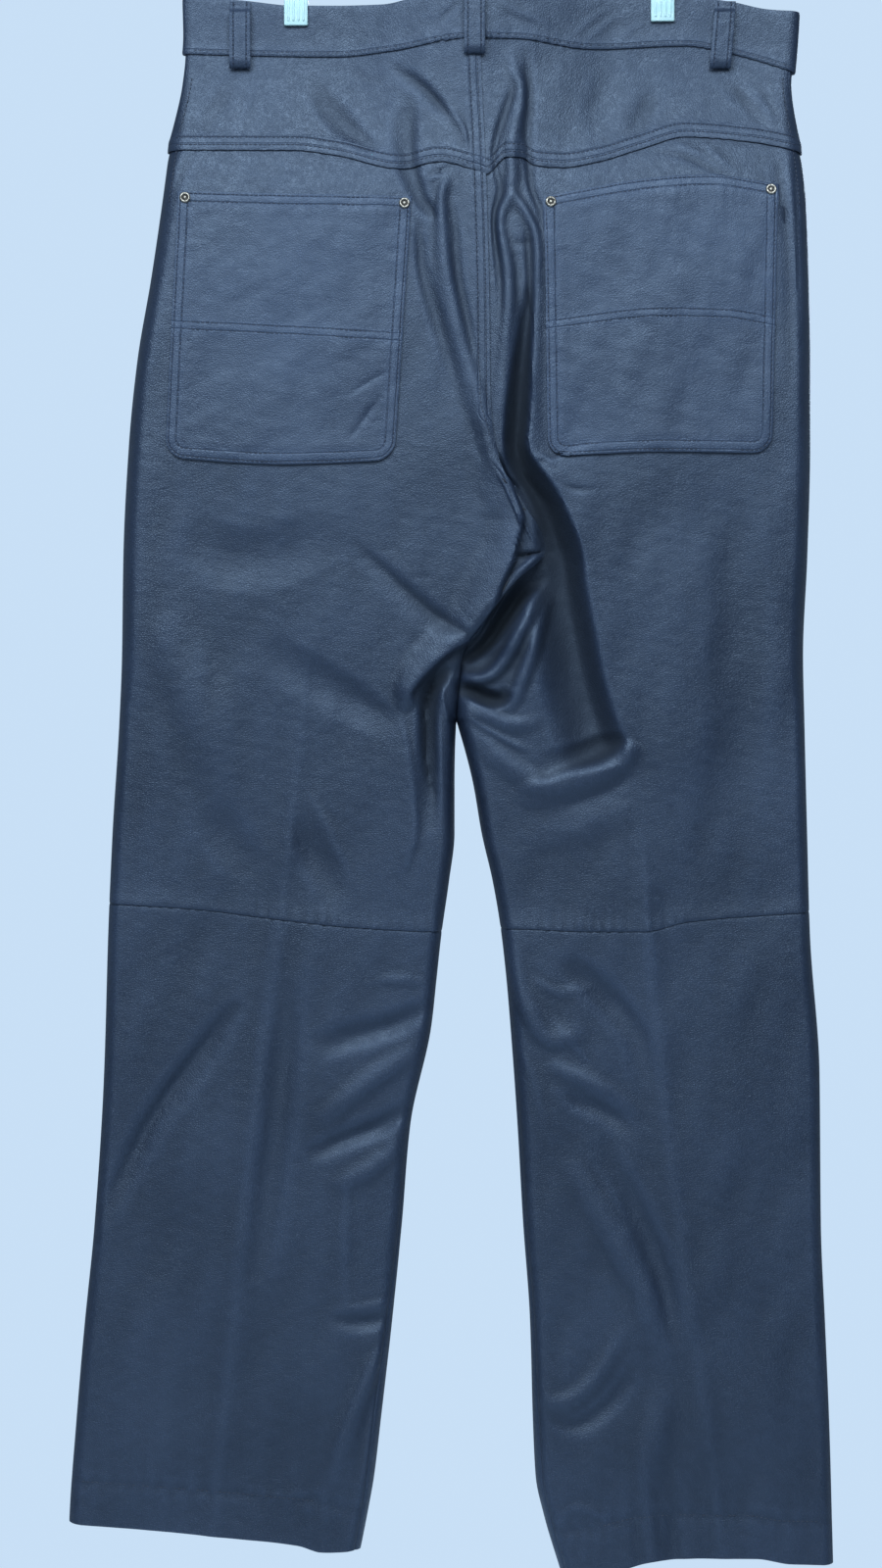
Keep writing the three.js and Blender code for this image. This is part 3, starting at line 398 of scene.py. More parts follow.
# Short drags in the waistband, which the clips hold flat otherwise.
BAND_DRAGS = {
    "first": [[112, 7, 0, 3], [96, 14, 1.2, 4], [79, 29, 0.8, 4]],
    "second": [[98, 3, 0, 3], [84, 12, 1, 4], [66, 27, 0.5, 4]],
    "third": [[122, 15, 0, 3], [109, 22, 0.8, 4], [99, 31, 0.4, 4]],
    "fourth": [[146, 6, 0, 3], [158, 14, 0.8, 4], [166, 26, 0, 4]],
    "left of the middle": [[-12, 2, 0, 4], [-22, 12, -1, 5], [-34, 24, 0, 5]],
    "right of the middle": [[12, 0, 0, 4], [26, 10, 1.2, 6, 5], [46, 18, 1, 6, 5], [60, 30, 0, 5]],
}
SOFT_FOLDS_FRONT = {
    "drag of the left fork": [[-105, 400, 0, 14, 16], [-62, 455, -5, 16], [-30, 492, 0, 12]],
    "drag of the right fork": [[-4, 492, 0, 12], [30, 450, -5, 16], [78, 395, 0, 16, 14]],
    "upper drag, left": [[-120, 300, 0, 12, 14], [-74, 352, -3, 14], [-34, 400, 0, 10]],
    "upper drag, right": [[0, 408, 0, 10], [44, 350, -3, 14], [92, 300, 0, 14, 12]],
    "hollow under the left clip": [[-150, 90, 0, 18], [-142, 150, -2.5, 20], [-130, 230, 0, 18]],
    "hollow under the right clip": [[138, 90, 0, 18], [132, 150, -2.5, 20], [124, 230, 0, 18]],
    "left knee, upper": [[-200, 618, 0, 12], [-150, 634, -2.5, 14], [-90, 622, 0, 12]],
    "right knee, upper": [[70, 622, 0, 12], [130, 636, -2.5, 14], [190, 618, 0, 12]],
    "left knee, lower": [[-210, 716, 0, 10], [-160, 726, -2, 12], [-96, 712, 0, 10]],
    "right knee, lower": [[76, 716, 0, 10], [136, 730, -2, 12], [196, 716, 0, 10]],
}
CRISP_FOLDS_FRONT = {
    "crease of the left leg": [
        [-119, 260, 0, 16], [-136, 600, 2, 18], [-160, 850, 1.6, 18], [-191, 1110, 1.2, 16],
    ],
    "crease of the right leg": [
        [112, 260, 0, 16], [120, 600, 2, 18], [142, 850, 1.6, 18], [165, 1120, 1.2, 16],
    ],
    "whisker, left first": [[-70, 440, 0, 6, 5], [-48, 466, 1.6, 7, 6], [-26, 500, 0, 5, 4]],
    "whisker, left second": [[-94, 424, 0, 6, 5], [-64, 472, 1.4, 7, 6], [-34, 520, 0, 5, 4]],
    "whisker, right first": [[-6, 500, 0, 5, 4], [16, 466, 1.6, 7, 6], [40, 438, 0, 6, 5]],
    "whisker, right second": [[0, 522, 0, 5, 4], [30, 474, 1.4, 7, 6], [64, 424, 0, 6, 5]],
}


def smooth_line(rows, column=1):
    """A line through one column of a table, without overshoot, as a function of the first column."""
    table = np.array(rows, dtype=float)
    at, values = table[:, 0], table[:, column]
    gaps = np.diff(at)
    slopes = np.diff(values) / gaps
    before, after = slopes[:-1], slopes[1:]
    turns = before * after <= 0
    between = 2 * before * after / np.where(turns, 1.0, before + after)
    bends = np.concatenate([slopes[:1], np.where(turns, 0.0, between), slopes[-1:]])

    def line(places):
        places = np.clip(places, at[0], at[-1])
        i = np.clip(np.searchsorted(at, places, side="right") - 1, 0, len(gaps) - 1)
        gap, t = gaps[i], (places - at[i]) / gaps[i]
        rise = values[i + 1] - values[i]
        c = 3 * rise - gap * (2 * bends[i] + bends[i + 1])
        d = gap * (bends[i] + bends[i + 1]) - 2 * rise
        return values[i] + t * (gap * bends[i] + t * (c + t * d))

    return line


outer_edge = {"left": smooth_line(SECTIONS, 1), "right": smooth_line(SECTIONS, 2)}
crown_line = {"back": smooth_line(SECTIONS, 3), "front": smooth_line(SECTIONS, 4)}
edge_radius = smooth_line([[row[0], min(row[5], 13 if row[0] < 520 else 10)] for row in SECTIONS])
leg_edge = {"left": smooth_line(LEG_EDGES, 1), "right": smooth_line(LEG_EDGES, 2)}
inseam_turn = {"left": smooth_line(LEG_EDGES, 3), "right": smooth_line(LEG_EDGES, 4)}
centre_seam = {"back": smooth_line(CENTRE_BACK), "front": smooth_line(CENTRE_FRONT)}
band_top = smooth_line(BAND_TOP)
band_bottom = {"back": smooth_line(BAND_BOTTOM_BACK), "front": smooth_line(BAND_BOTTOM_FRONT)}
yoke_bottom = smooth_line(YOKE_BOTTOM)
knee_seam = smooth_line(KNEE_SEAM)
hem_line = smooth_line(HEM)


def ease(value, low, high):
    """0 at low and 1 at high, smoothly between."""
    t = np.clip((value - low) / (high - low), 0, 1)
    return t * t * (3 - 2 * t)


def bell(value, width):
    return np.exp(-((value / width) ** 2))


def waves(x, down, length, seed, count=9):
    """Soft uneven waves, about one high."""
    chance = np.random.default_rng(seed)
    total = np.zeros_like(x)
    for _ in range(count):
        angle, phase = chance.uniform(0, 2 * math.pi, 2)
        pitch = length * chance.uniform(0.6, 1.7)
        total += np.sin((x * math.cos(angle) + down * math.sin(angle)) * 2 * math.pi / pitch + phase)
    return total / math.sqrt(count)


def short_stretches(rows, steps=4):
    """A fold's rows as a smooth line of short straight stretches."""
    table = np.array([row[:3] + (row[3:] * 2)[:2] for row in rows], dtype=float)
    with_ends = np.vstack([table[:1], table, table[-1:]])
    points = []
    for a, b, c, d in zip(with_ends, with_ends[1:], with_ends[2:], with_ends[3:]):
        m, n = (c - a) / 2, (d - b) / 2
        for t in np.arange(steps) / steps:
            points.append(b + t * (m + t * (3 * (c - b) - 2 * m - n + t * (2 * (b - c) + m + n))))
    return np.array([*points, table[-1]])


def soft_share(share, east):
    return (1 - share**2) ** 2


def crisp_share(share, east):
    sharp = np.sqrt(share**2 + 0.015) - 0.122 * (1 - share)
    return (1 - np.minimum(sharp, 1)) ** 2


def ledge_share(share, east):
    return (1 - share**2) ** np.where(east, 1.35, 2)


FOLD_TABLES = {
    "back": [(SOFT_FOLDS_BACK, soft_share), (LEDGES_BACK, ledge_share), (CRISP_FOLDS_BACK, crisp_share)],
    "front": [(SOFT_FOLDS_FRONT, soft_share), (CRISP_FOLDS_FRONT, crisp_share)],
    "band": [(BAND_DRAGS, crisp_share)],
}
FOLDS = {
    face: [(short_stretches(rows), share) for table, share in tables for rows in table.values()]
    for face, tables in FOLD_TABLES.items()
}


def fold_lift(face, x, down):
    """How far the folds of one face lift the cloth."""
    lift = np.zeros_like(x)
    for points, height_share in FOLDS[face]:
        reach = points[:, 3:].max()
        near = (x > points[:, 0].min() - reach) & (x < points[:, 0].max() + reach)
        near &= (down > points[:, 1].min() - reach) & (down < points[:, 1].max() + reach)
        if not near.any():
            continue
        px, pd = x[near], down[near]
        nearest, height, width = np.full(px.shape, 1e9), np.zeros_like(px), np.ones_like(px)
        is_east = np.zeros(px.shape, dtype=bool)
        for a, b in zip(points, points[1:]):
            dx, dd = b[:2] - a[:2]
            along = np.clip(((px - a[0]) * dx + (pd - a[1]) * dd) / (dx * dx + dd * dd), 0, 1)
            ox, od = px - a[0] - along * dx, pd - a[1] - along * dd
            away = np.hypot(ox, od)
            east = ox * dd - od * dx > 0
            side = np.where(east, a[4] + (b[4] - a[4]) * along, a[3] + (b[3] - a[3]) * along)
            closer = away < nearest
            is_east = np.where(closer, east, is_east)
            nearest = np.where(closer, away, nearest)
            height = np.where(closer, a[2] + (b[2] - a[2]) * along, height)
            width = np.where(closer, side, width)
        lift[near] += height * height_share(np.clip(nearest / width, 0, 1), is_east)
    return lift


def open_sky(face, step=2.0, reaches=(2, 4, 6, 9, 13, 18, 25)):
    """A function that tells how open each place of a face is: 1 on the flat and less deep in a fold."""
    xs, downs = np.arange(-300, 262, step), np.arange(-20, 1140, step)
    x, down = np.meshgrid(xs, downs)
    lift = fold_lift(face, x, down)
    shut, ways = np.zeros_like(lift), 12
    for angle in np.arange(ways) * 2 * math.pi / ways:
        steepest = np.zeros_like(lift)
        for reach in reaches:
            across, along = round(reach * math.cos(angle)), round(reach * math.sin(angle))
            seen = np.roll(lift, (along, across), axis=(0, 1))
            steepest = np.maximum(steepest, (seen - lift) / (step * reach))
        shut += steepest / np.sqrt(1 + steepest**2) / ways
    openness = 1 - shut

    def at(places_x, places_down):
        i = np.clip((places_x - xs[0]) / step, 0, len(xs) - 1.001)
        j = np.clip((places_down - downs[0]) / step, 0, len(downs) - 1.001)
        i0, j0 = i.astype(int), j.astype(int)
        u, v = i - i0, j - j0
        upper = openness[j0, i0] * (1 - u) + openness[j0, i0 + 1] * u
        lower = openness[j0 + 1, i0] * (1 - u) + openness[j0 + 1, i0 + 1] * u
        return upper * (1 - v) + lower * v

    return at


OPEN_SKY = {"back": open_sky("back"), "front": open_sky("front")}


def clip_hold(x, down):
    """How free the cloth is of the clips, from 0 in their jaws to 1."""
    hold = 1 - ease(down, 28, 150)
    free = np.ones_like(x)
    for place in CLIP_X.values():
        beyond = (x - place) * place > 0
        flat, reach = np.where(beyond, 56, 30), np.where(beyond, 60, 45)
        away = np.maximum(0, np.abs(x - place) - flat) / reach
        free *= 1 - hold * np.exp(-(away**2))
    return free


def in_jaws(x, down):
    """1 under a clip's jaws and 0 away from them."""
    grip = np.zeros_like(x)
    for place in CLIP_X.values():
        grip = np.maximum(grip, (1 - ease(np.abs(x - place), 9, 16)) * (1 - ease(down, 19, 26)))
    return grip


def puckers(along, away, pitch, height, reach):
    """Small ridges that run across a seam, highest beside it."""
    uneven = 0.55 + 0.45 * np.sin(along / 23.0) * np.sin(along / 9.1 + 1.3)
    ridges = np.sin(2 * math.pi * along / pitch + 1.9 * np.sin(along / 13.0))
    return height * uneven * ridges * np.exp(-np.abs(away) / reach) * (away >= 0)


def small_relief(face, x, down):
    """Waves of the hide and the puckers beside the seams."""
    seed = {"back": 3, "front": 8}[face]
    lift = 0.8 * waves(x, down * 0.6, 95, seed)
    lift += 0.26 * waves(x + 0.3 * down, down * 0.55, 30, seed + 1)
    lift += 0.07 * waves(x, down, 12, seed + 2)
    right_of_seam = 1 + 0.9 * bell(x - 42, 40)
    lift += puckers(x, band_bottom[face](x) - down, 6.5, 0.8, 5) * ease(down, -20, 10) * right_of_seam
    lift += puckers(x + 3, knee_seam(x) - down, 8.0, 0.6, 8)
    lift += puckers(x, down - knee_seam(x), 12.0, 0.2, 6)
    hem = hem_line(x) - HEM_TURN_UP - down
    lift += puckers(x, hem, 13.0, 0.5, 12) + puckers(x + 5, -hem, 11.0, 0.45, 12)
    lift -= 0.6 * bell(hem, 2.2)
    if face == "back":
        lift += fold_lift("band", x, down)
        lift += puckers(x, down - yoke_bottom(x), 10.0, 0.25, 6)
        lift += puckers(x + 4, yoke_bottom(x) - 11 - down, 9.0, 0.22, 6)
    return lift * (1 - in_jaws(x, down))


def crown(face, x, down):
    """How far the cloth stands from the middle plane."""
    free = clip_hold(x, down)
    soft = crown_line[face](down) + fold_lift(face, x, down)
    return PRESSED + (soft - PRESSED) * free + small_relief(face, x, down) * (0.35 + 0.65 * free)


def half_outline(side, face, down):
    """Outer edge, inner edge, radius of the edges and how far the seat stands open at the middle seam."""
    inner = np.where(down >= CROTCH, leg_edge[side](down), centre_seam[face](down))
    fork = np.clip((down - CROTCH) / FORK_RISE + 1, 0, 1)
    return outer_edge[side](down), inner, edge_radius(down), np.sqrt(1 - fork**2)


def place_across(side, face, turn, down):
    """x and rise of a place whose turn runs from 0 at the side seam to 1 at the middle."""
    outer, inner, radius, opening = half_outline(side, face, down)
    width = np.abs(inner - outer)
    quarter = math.pi / 2 / ROUND_SHARE
    flat = radius + (width - 2 * radius) * (turn - ROUND_SHARE) / (1 - 2 * ROUND_SHARE)
    at_side, at_middle = turn < ROUND_SHARE, turn > 1 - ROUND_SHARE
    from_side = np.minimum(turn, ROUND_SHARE) * quarter
    from_middle = np.minimum(1 - turn, ROUND_SHARE) * quarter
    across = np.where(at_side, radius * (1 - np.cos(from_side)), flat)
    across = np.where(at_middle, width - radius * (1 - np.cos(from_middle)), across)
    rise = np.where(at_side, np.sin(from_side), 1.0)
    rise = np.where(at_middle, opening + (1 - opening) * np.sin(from_middle), rise)
    return outer + SIDES[side] * across, rise


def cloth_points(side, turn, down):
    """Points of a half's cloth. turn is above zero on the back and below it on the front."""
    turn = np.where((down >= CROTCH) & (turn < -1), turn + 2, turn)
    on_back = turn >= 0
    share = np.minimum(np.abs(turn), 1)
    x_back, rise_back = place_across(side, "back", share, down)
    x_front, rise_front = place_across(side, "front", share, down)
    x, rise = np.where(on_back, x_back, x_front), np.where(on_back, rise_back, rise_front)
    depth = np.where(on_back, -crown("back", x, down), crown("front", x, down))
    return np.stack([x, depth * rise, WAIST_LEVEL - down], axis=-1)


def depth_on_face(face, x, down):
    """y of the cloth at a place seen from the back or the front."""
    depth = np.zeros_like(x)
    for side in SIDES:
        outer, inner, radius, opening = half_outline(side, face, down)
        here = (x < centre_seam[face](down)) == (side == "left")
        out = np.clip(1 - np.abs(x - outer) / radius, 0, 1)
        inn = np.clip(1 - np.abs(inner - x) / radius, 0, 1)
        rise = np.sqrt(1 - out**2) * (opening + (1 - opening) * np.sqrt(1 - inn**2))
        depth = np.where(here, rise, depth)
    return depth * crown(face, x, down) * (-1 if face == "back" else 1)


def on_face(face, x, down, lift):
    """Points that lie a lift above the cloth, and the directions that they face."""
    x, down = np.asarray(x, dtype=float), np.asarray(down, dtype=float)
    y, step = depth_on_face(face, x, down), 1.5
    dx = (depth_on_face(face, x + step, down) - depth_on_face(face, x - step, down)) / (2 * step)
    dd = (depth_on_face(face, x, down + step) - depth_on_face(face, x, down - step)) / (2 * step)
    way = OUTWARD[face]
    normal = np.stack([-way * dx, np.full_like(x, way), way * dd], axis=-1)
    normal /= np.linalg.norm(normal, axis=-1, keepdims=True)
    points = np.stack([x, y, WAIST_LEVEL - down], axis=-1)
    return points + normal * np.asarray(lift, dtype=float)[..., None], normal


def grid_normals(points):
    across, along = np.gradient(points, axis=1), np.gradient(points, axis=0)
    normal = np.cross(across, along)
    return normal / np.maximum(np.linalg.norm(normal, axis=-1, keepdims=True), 1e-9)


def spread(length, step, closer=(), at_ends=0.7):
    """Places from 0 to length, a step apart, closer at both ends and in some stretches: start, end, step."""
    along = np.linspace(0, length, 6001)
    gap = np.minimum(step, at_ends + 0.3 * np.minimum(along, length - along))
    for start, end, inner in closer:
        outside = np.maximum(0, np.maximum(start - along, along - end))
        gap = np.minimum(gap, inner + 0.15 * outside)
    count = np.concatenate([[0], np.cumsum(np.diff(along) / gap[1:])])
    return np.interp(np.linspace(0, count[-1], round(count[-1]) + 1), count, along)


# Materials
def new_node(tree, kind, inputs=(), **settings):
    made = tree.nodes.new(kind)
    for name, value in settings.items():
        setattr(made, name, value)
    for name, value in dict(inputs).items():
        if isinstance(value, bpy.types.NodeSocket):
            tree.links.new(value, made.inputs[name])
        else:
            made.inputs[name].default_value = value
    return made


def new_material(name):
    material = bpy.data.materials.new(name)
    material.use_nodes = True
    tree = material.node_tree
    return material, tree, tree.nodes["Principled BSDF"]


def reckon(tree, operation, first, second=0.0):
    return new_node(tree, "ShaderNodeMath", {0: first, 1: second}, operation=operation).outputs[0]


def added(tree, first, *others):
    for other in others:
        first = reckon(tree, "ADD", first, other)
    return first


def mapped(tree, value, low, high, to_low, to_high, smooth=False):
    inputs = {"Value": value, "From Min": low, "From Max": high, "To Min": to_low, "To Max": to_high}
    kind = "SMOOTHSTEP" if smooth else "LINEAR"
    return new_node(tree, "ShaderNodeMapRange", inputs, interpolation_type=kind).outputs["Result"]


def attribute(tree, name):
    return new_node(tree, "ShaderNodeAttribute", attribute_name=name).outputs["Fac"]


def places_on(tree):
    return new_node(tree, "ShaderNodeTexCoord").outputs["Object"]


def noise(tree, scale, detail, roughness=0.5):
    """Cloudy noise over a piece's own places."""
    inputs = {"Vector": places_on(tree), "Scale": scale, "Detail": detail, "Roughness": roughness}
    return new_node(tree, "ShaderNodeTexNoise", inputs).outputs["Fac"]


def blend(tree, share, first, second):
    """A colour between two, each a colour or a socket."""
    ends = [end if isinstance(end, bpy.types.NodeSocket) else (*end, 1) for end in (first, second)]
    inputs = {0: share, 6: ends[0], 7: ends[1]}
    return new_node(tree, "ShaderNodeMix", inputs, data_type="RGBA", clamp_factor=True).outputs[2]


def set_bump(tree, shader, height, distance, strength):
    inputs = {"Height": height, "Distance": distance, "Strength": strength}
    tree.links.new(new_node(tree, "ShaderNodeBump", inputs).outputs["Normal"], shader.inputs["Normal"])


def hide(name, rows=(), deep=(0.008, 0.0125, 0.024), worn_and_highlight=(0.024, 0.035, 0.060)):
    """Grained leather with stitch rows pressed into it, each an attribute and its value along the row."""
    material, tree, shader = new_material(name)
    cells = {"Vector": places_on(tree), "Scale": 680.0}
    cells = new_node(tree, "ShaderNodeTexVoronoi", cells, feature="DISTANCE_TO_EDGE").outputs["Distance"]
    pebble = mapped(tree, cells, 0.0, 0.32, 0.0, 1.0, smooth=True)
    wide, middle, fine = noise(tree, 11.0, 4.0), noise(tree, 120.0, 5.0, 0.6), noise(tree, 430.0, 3.0)
    wear, shade = attribute(tree, "wear"), attribute(tree, "shade")
    from_rows = [
        reckon(tree, "ABSOLUTE", reckon(tree, "SUBTRACT", attribute(tree, label), distance))
        for label, distance in rows
    ]

    tone = added(
        tree,
        mapped(tree, wide, 0.35, 0.68, 0.0, 0.55),
        mapped(tree, fine, 0.3, 0.7, 0.0, 0.25),
        reckon(tree, "MULTIPLY", wear, 0.35),
        # Painted highlight: the colour runs lighter within 5 mm of each stitch row.
        *(mapped(tree, away, 1.0, 5.0, 0.3, 0.0) for away in from_rows),
    )
    tone = reckon(tree, "MULTIPLY", tone, mapped(tree, pebble, 0.0, 1.0, 0.45, 1.0))
    # Painted shade: deep in the folds the colour runs darker, down to near black.
    tone = reckon(tree, "MULTIPLY", tone, mapped(tree, shade, 0.05, 0.45, 1.0, 0.0))
    painted_fold_shade = mapped(tree, shade, 0.15, 0.7, 0.0, 0.95)
    colour = blend(tree, painted_fold_shade, blend(tree, tone, deep, worn_and_highlight), (0.001, 0.0013, 0.002))
    tree.links.new(colour, shader.inputs["Base Color"])

    rough = added(
        tree,
        mapped(tree, middle, 0.3, 0.7, 0.40, 0.52),
        mapped(tree, wide, 0.3, 0.7, -0.04, 0.05),
        mapped(tree, shade, 0.15, 0.6, 0.0, 0.4),
    )
    tree.links.new(rough, shader.inputs["Roughness"])

    height = added(
        tree,
        reckon(tree, "MULTIPLY", pebble, 0.00013),
        reckon(tree, "MULTIPLY", middle, 0.00040),
        reckon(tree, "MULTIPLY", fine, 0.00020),
        *(mapped(tree, away, 0.0, 0.9, -0.00032, 0.0, smooth=True) for away in from_rows),
    )
    set_bump(tree, shader, height, 1.0, 0.9)
    shader.inputs["IOR"].default_value = 1.5
    shader.inputs["Specular IOR Level"].default_value = 0.62
    shader.inputs["Specular Tint"].default_value = (0.74, 0.87, 1.0, 1)
    return material


def clouded(name, scale, detail, dark, light, roughness):
    """A finish whose colour runs from dark to light in clouds."""
    material, tree, shader = new_material(name)
    cloud = noise(tree, scale, detail)
    tree.links.new(blend(tree, cloud, dark, light), shader.inputs["Base Color"])
    shader.inputs["Roughness"].default_value = roughness
    return material, tree, shader, cloud


def flesh_side():
    """The leather's matt inner side."""
    dark, light = (0.016, 0.018, 0.022), (0.045, 0.048, 0.055)
    material, tree, shader, nap = clouded("leather_flesh_side", 900.0, 4.0, dark, light, 0.92)
    set_bump(tree, shader, nap, 0.0003, 0.6)
    return material


def thread():
    dark, light = (0.006, 0.008, 0.014), (0.035, 0.044, 0.066)
    material, tree, shader, twist = clouded("navy_thread", 2400.0, 2.0, dark, light, 0.5)
    set_bump(tree, shader, twist, 0.0001, 0.5)
    return material


def metal(name, dark, light, roughness, scale):
    material, tree, shader = new_material(name)
    stain = noise(tree, scale, 4.0)
    colour = blend(tree, mapped(tree, stain, 0.35, 0.65, 0, 1), dark, light)
    rough = mapped(tree, stain, 0.3, 0.7, roughness + 0.12, roughness - 0.05)
    tree.links.new(colour, shader.inputs["Base Color"])
    tree.links.new(rough, shader.inputs["Roughness"])
    set_bump(tree, shader, stain, 0.0001, 0.4)
    shader.inputs["Metallic"].default_value = 1.0
    return material


def clear_plastic():
    material, tree, shader = new_material("pale_green_plastic")
    cloud = noise(tree, 160.0, 3.0)
    colour = blend(tree, cloud, (0.42, 0.66, 0.60), (0.74, 0.90, 0.86))
    tree.links.new(colour, shader.inputs["Base Color"])
    tree.links.new(mapped(tree, cloud, 0.3, 0.7, 0.16, 0.3), shader.inputs["Roughness"])
    shader.inputs["Transmission Weight"].default_value = 0.25
    shader.inputs["IOR"].default_value = 1.49
    return material


# How far the stitch rows lie from the edge of each kind of piece, or from the middle of a pocket's cross row.
EDGE_ROWS = {
    "pocket": (1.8, 7.4),
    "cross": (-2.6, 2.6),
    "lap": (2.4, 7.9),
    "band": (2.6,),
    "loop": (2.8,),
    "yoke": (3.6, 9.2),
}


def edge_rows(label, kind):
    return [(label, distance) for distance in EDGE_ROWS[kind]]


HIDE = hide("leather")
HIDE_THIGH = hide("leather_lapped_seam", edge_rows("to_middle", "lap"))
HIDE_YOKE_LEFT = hide("leather_yoke_lapped", edge_rows("to_middle", "lap") + edge_rows("to_bottom", "yoke"))
HIDE_YOKE = hide("leather_yoke", edge_rows("to_bottom", "yoke") + [("to_side", 6.0)])
HIDE_BAND = hide("leather_band", edge_rows("to_bottom", "band"))
# The pockets' leather is painted lighter than the rest, a painted highlight for the light that the pockets
# catch.
HIDE_POCKET_PAINTED_LIGHT = hide(
    "leather_pocket_painted_light",
    edge_rows("to_edge", "pocket") + edge_rows("to_cross_row", "cross"),
    deep=(0.011, 0.0165, 0.031),
    worn_and_highlight=(0.032, 0.046, 0.077),
)
HIDE_LOOP = hide("leather_loop", edge_rows("to_edge", "loop"))
INSIDE = flesh_side()
THREAD = thread()
BRASS = metal("antique_brass", (0.10, 0.085, 0.065), (0.42, 0.37, 0.29), 0.38, 900.0)
DARK_BRASS = metal("brass_in_shade", (0.012, 0.011, 0.010), (0.06, 0.052, 0.042), 0.5, 900.0)
STEEL = metal("hanger_steel", (0.42, 0.43, 0.45), (0.72, 0.73, 0.75), 0.2, 300.0)
PLASTIC = clear_plastic()


# Meshes
def deselect_all():
    bpy.ops.object.select_all(action="DESELECT")


def ready(piece, name, slot, *nodes):
    """Names a finished piece, puts it on the body and hides the model's parts that it stands for."""
    piece.name = piece.data.name = name
    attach(piece, "root")
    if nodes:
        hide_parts(*nodes)
    return piece


def cloth_sheet(name, face, points, material, distances, thickness):
    """A sheet of leather: a grid bent to rows of points, turned to look out and given its thickness."""
    rows, columns = points.shape[:2]
    deselect_all()
    bpy.ops.mesh.primitive_grid_add(x_subdivisions=columns - 1, y_subdivisions=rows - 1, size=2)
    piece = bpy.context.object
    mesh = piece.data
    flat_places = np.empty(len(mesh.vertices) * 3)
    mesh.vertices.foreach_get("co", flat_places)
    flat_places = flat_places.reshape(-1, 3)
    column = np.rint((flat_places[:, 0] + 1) / 2 * (columns - 1)).astype(int)
    row = np.rint((1 - flat_places[:, 1]) / 2 * (rows - 1)).astype(int)
    mesh.vertices.foreach_set("co", (points[row, column] * MM).ravel())
    for label, values in distances.items():
        layer = mesh.attributes.new(label, "FLOAT", "POINT")
        layer.data.foreach_set("value", np.asarray(values, dtype=float)[row, column].ravel())
    mesh.update()
    slants = np.empty(len(mesh.polygons) * 3)
    mesh.polygons.foreach_get("normal", slants)
    if slants[1::3].sum() * OUTWARD[face] < 0:
        bpy.ops.object.mode_set(mode="EDIT")
        bpy.ops.mesh.select_all(action="SELECT")
        bpy.ops.mesh.flip_normals()
        bpy.ops.object.mode_set(mode="OBJECT")
    mesh.materials.append(material)
    mesh.materials.append(INSIDE)
    wall = piece.modifiers.new("thickness", "SOLIDIFY")
    wall.thickness, wall.offset, wall.material_offset = thickness * MM, -1, 1
    wall.use_even_offset, wall.thickness_clamp, wall.use_rim = False, 0, True
    bpy.ops.object.modifier_apply(modifier=wall.name)
    bpy.ops.object.shade_smooth_by_angle(angle=math.radians(50))
    ready(piece, name, "leather", name)
    return piece


class Panel:
    """Places of one panel: a grid between seam lines, with each place's distance from every edge."""

    def __init__(self, side, face, width, step, lines, lengths, closer_columns=(), closer_rows=()):
        self.side, self.face = side, face
        columns = self.share = spread(width, step, closer_columns) / width
        levels = np.array([self.line_down(line) for line in lines])
        ends = np.concatenate([[0], np.cumsum(lengths)])
        rows = spread(ends[-1], step, closer_rows)
        part = np.clip(np.searchsorted(ends, rows, side="right") - 1, 0, len(lengths) - 1)
        within = ((rows - ends[part]) / (ends[part + 1] - ends[part]))[:, None]
        self.down = levels[part] * (1 - within) + levels[part + 1] * within
        share = np.broadcast_to(columns, self.down.shape)
        seam = np.where(self.down >= CROTCH, inseam_turn[side](self.down), 0)
        self.turn = share * (1 - seam) if face == "back" else -share * (1 + seam)
        self.points = cloth_points(side, self.turn, self.down)
        self.normals = grid_normals(self.points)
        if self.normals[..., 1].sum() * OUTWARD[face] < 0:
            self.normals = -self.normals
        self.x = self.points[..., 0]
        steps = np.linalg.norm(np.diff(self.points, axis=1), axis=-1)
        run = np.concatenate([np.zeros((steps.shape[0], 1)), np.cumsum(steps, axis=1)], axis=1)
        self.to_side, self.to_middle = run, run[:, -1:] - run
        self.to_top = self.down - levels[0]
        self.to_bottom = levels[-1] - self.down

    def line_down(self, line):
        if not callable(line):
            return np.full_like(self.share, float(line))
        down = line(np.zeros_like(self.share))
        for _ in range(5):
            down = line(place_across(self.side, self.face, self.share, down)[0])
        return down

    def raised(self, lift):
        return self.points + self.normals * lift[..., None]

    def wear(self):
        """Light along ridges and edges, dark in hollows."""
        bend = np.zeros_like(self.x)
        y = np.abs(self.points[..., 1])
        bend[2:-2, 2:-2] = 4 * y[2:-2, 2:-2] - y[:-4, 2:-2] - y[4:, 2:-2] - y[2:-2, :-4] - y[2:-2, 4:]
        edge = np.minimum.reduce([self.to_top, self.to_bottom, self.to_side, self.to_middle])
        return np.clip(bend * 0.8, -0.6, 1) + 0.5 * np.exp(-edge / 3)

    def shade(self):
        """How deep each place is in the folds, for the shade painted into the leather's colour there."""
        return 1 - OPEN_SKY[self.face](self.x, self.down)


def turned_in(*distances):
    """How far a sewn edge rolls in towards its seam."""
    return -sum(0.9 * np.exp(-d / 1.4) for d in distances)


def lap(distance, height, reach):
    """How far an edge that laps over its neighbour stands up."""
    return height * bell(distance, reach)


BACK_STEP, FRONT_STEP = 3.2, 4.2


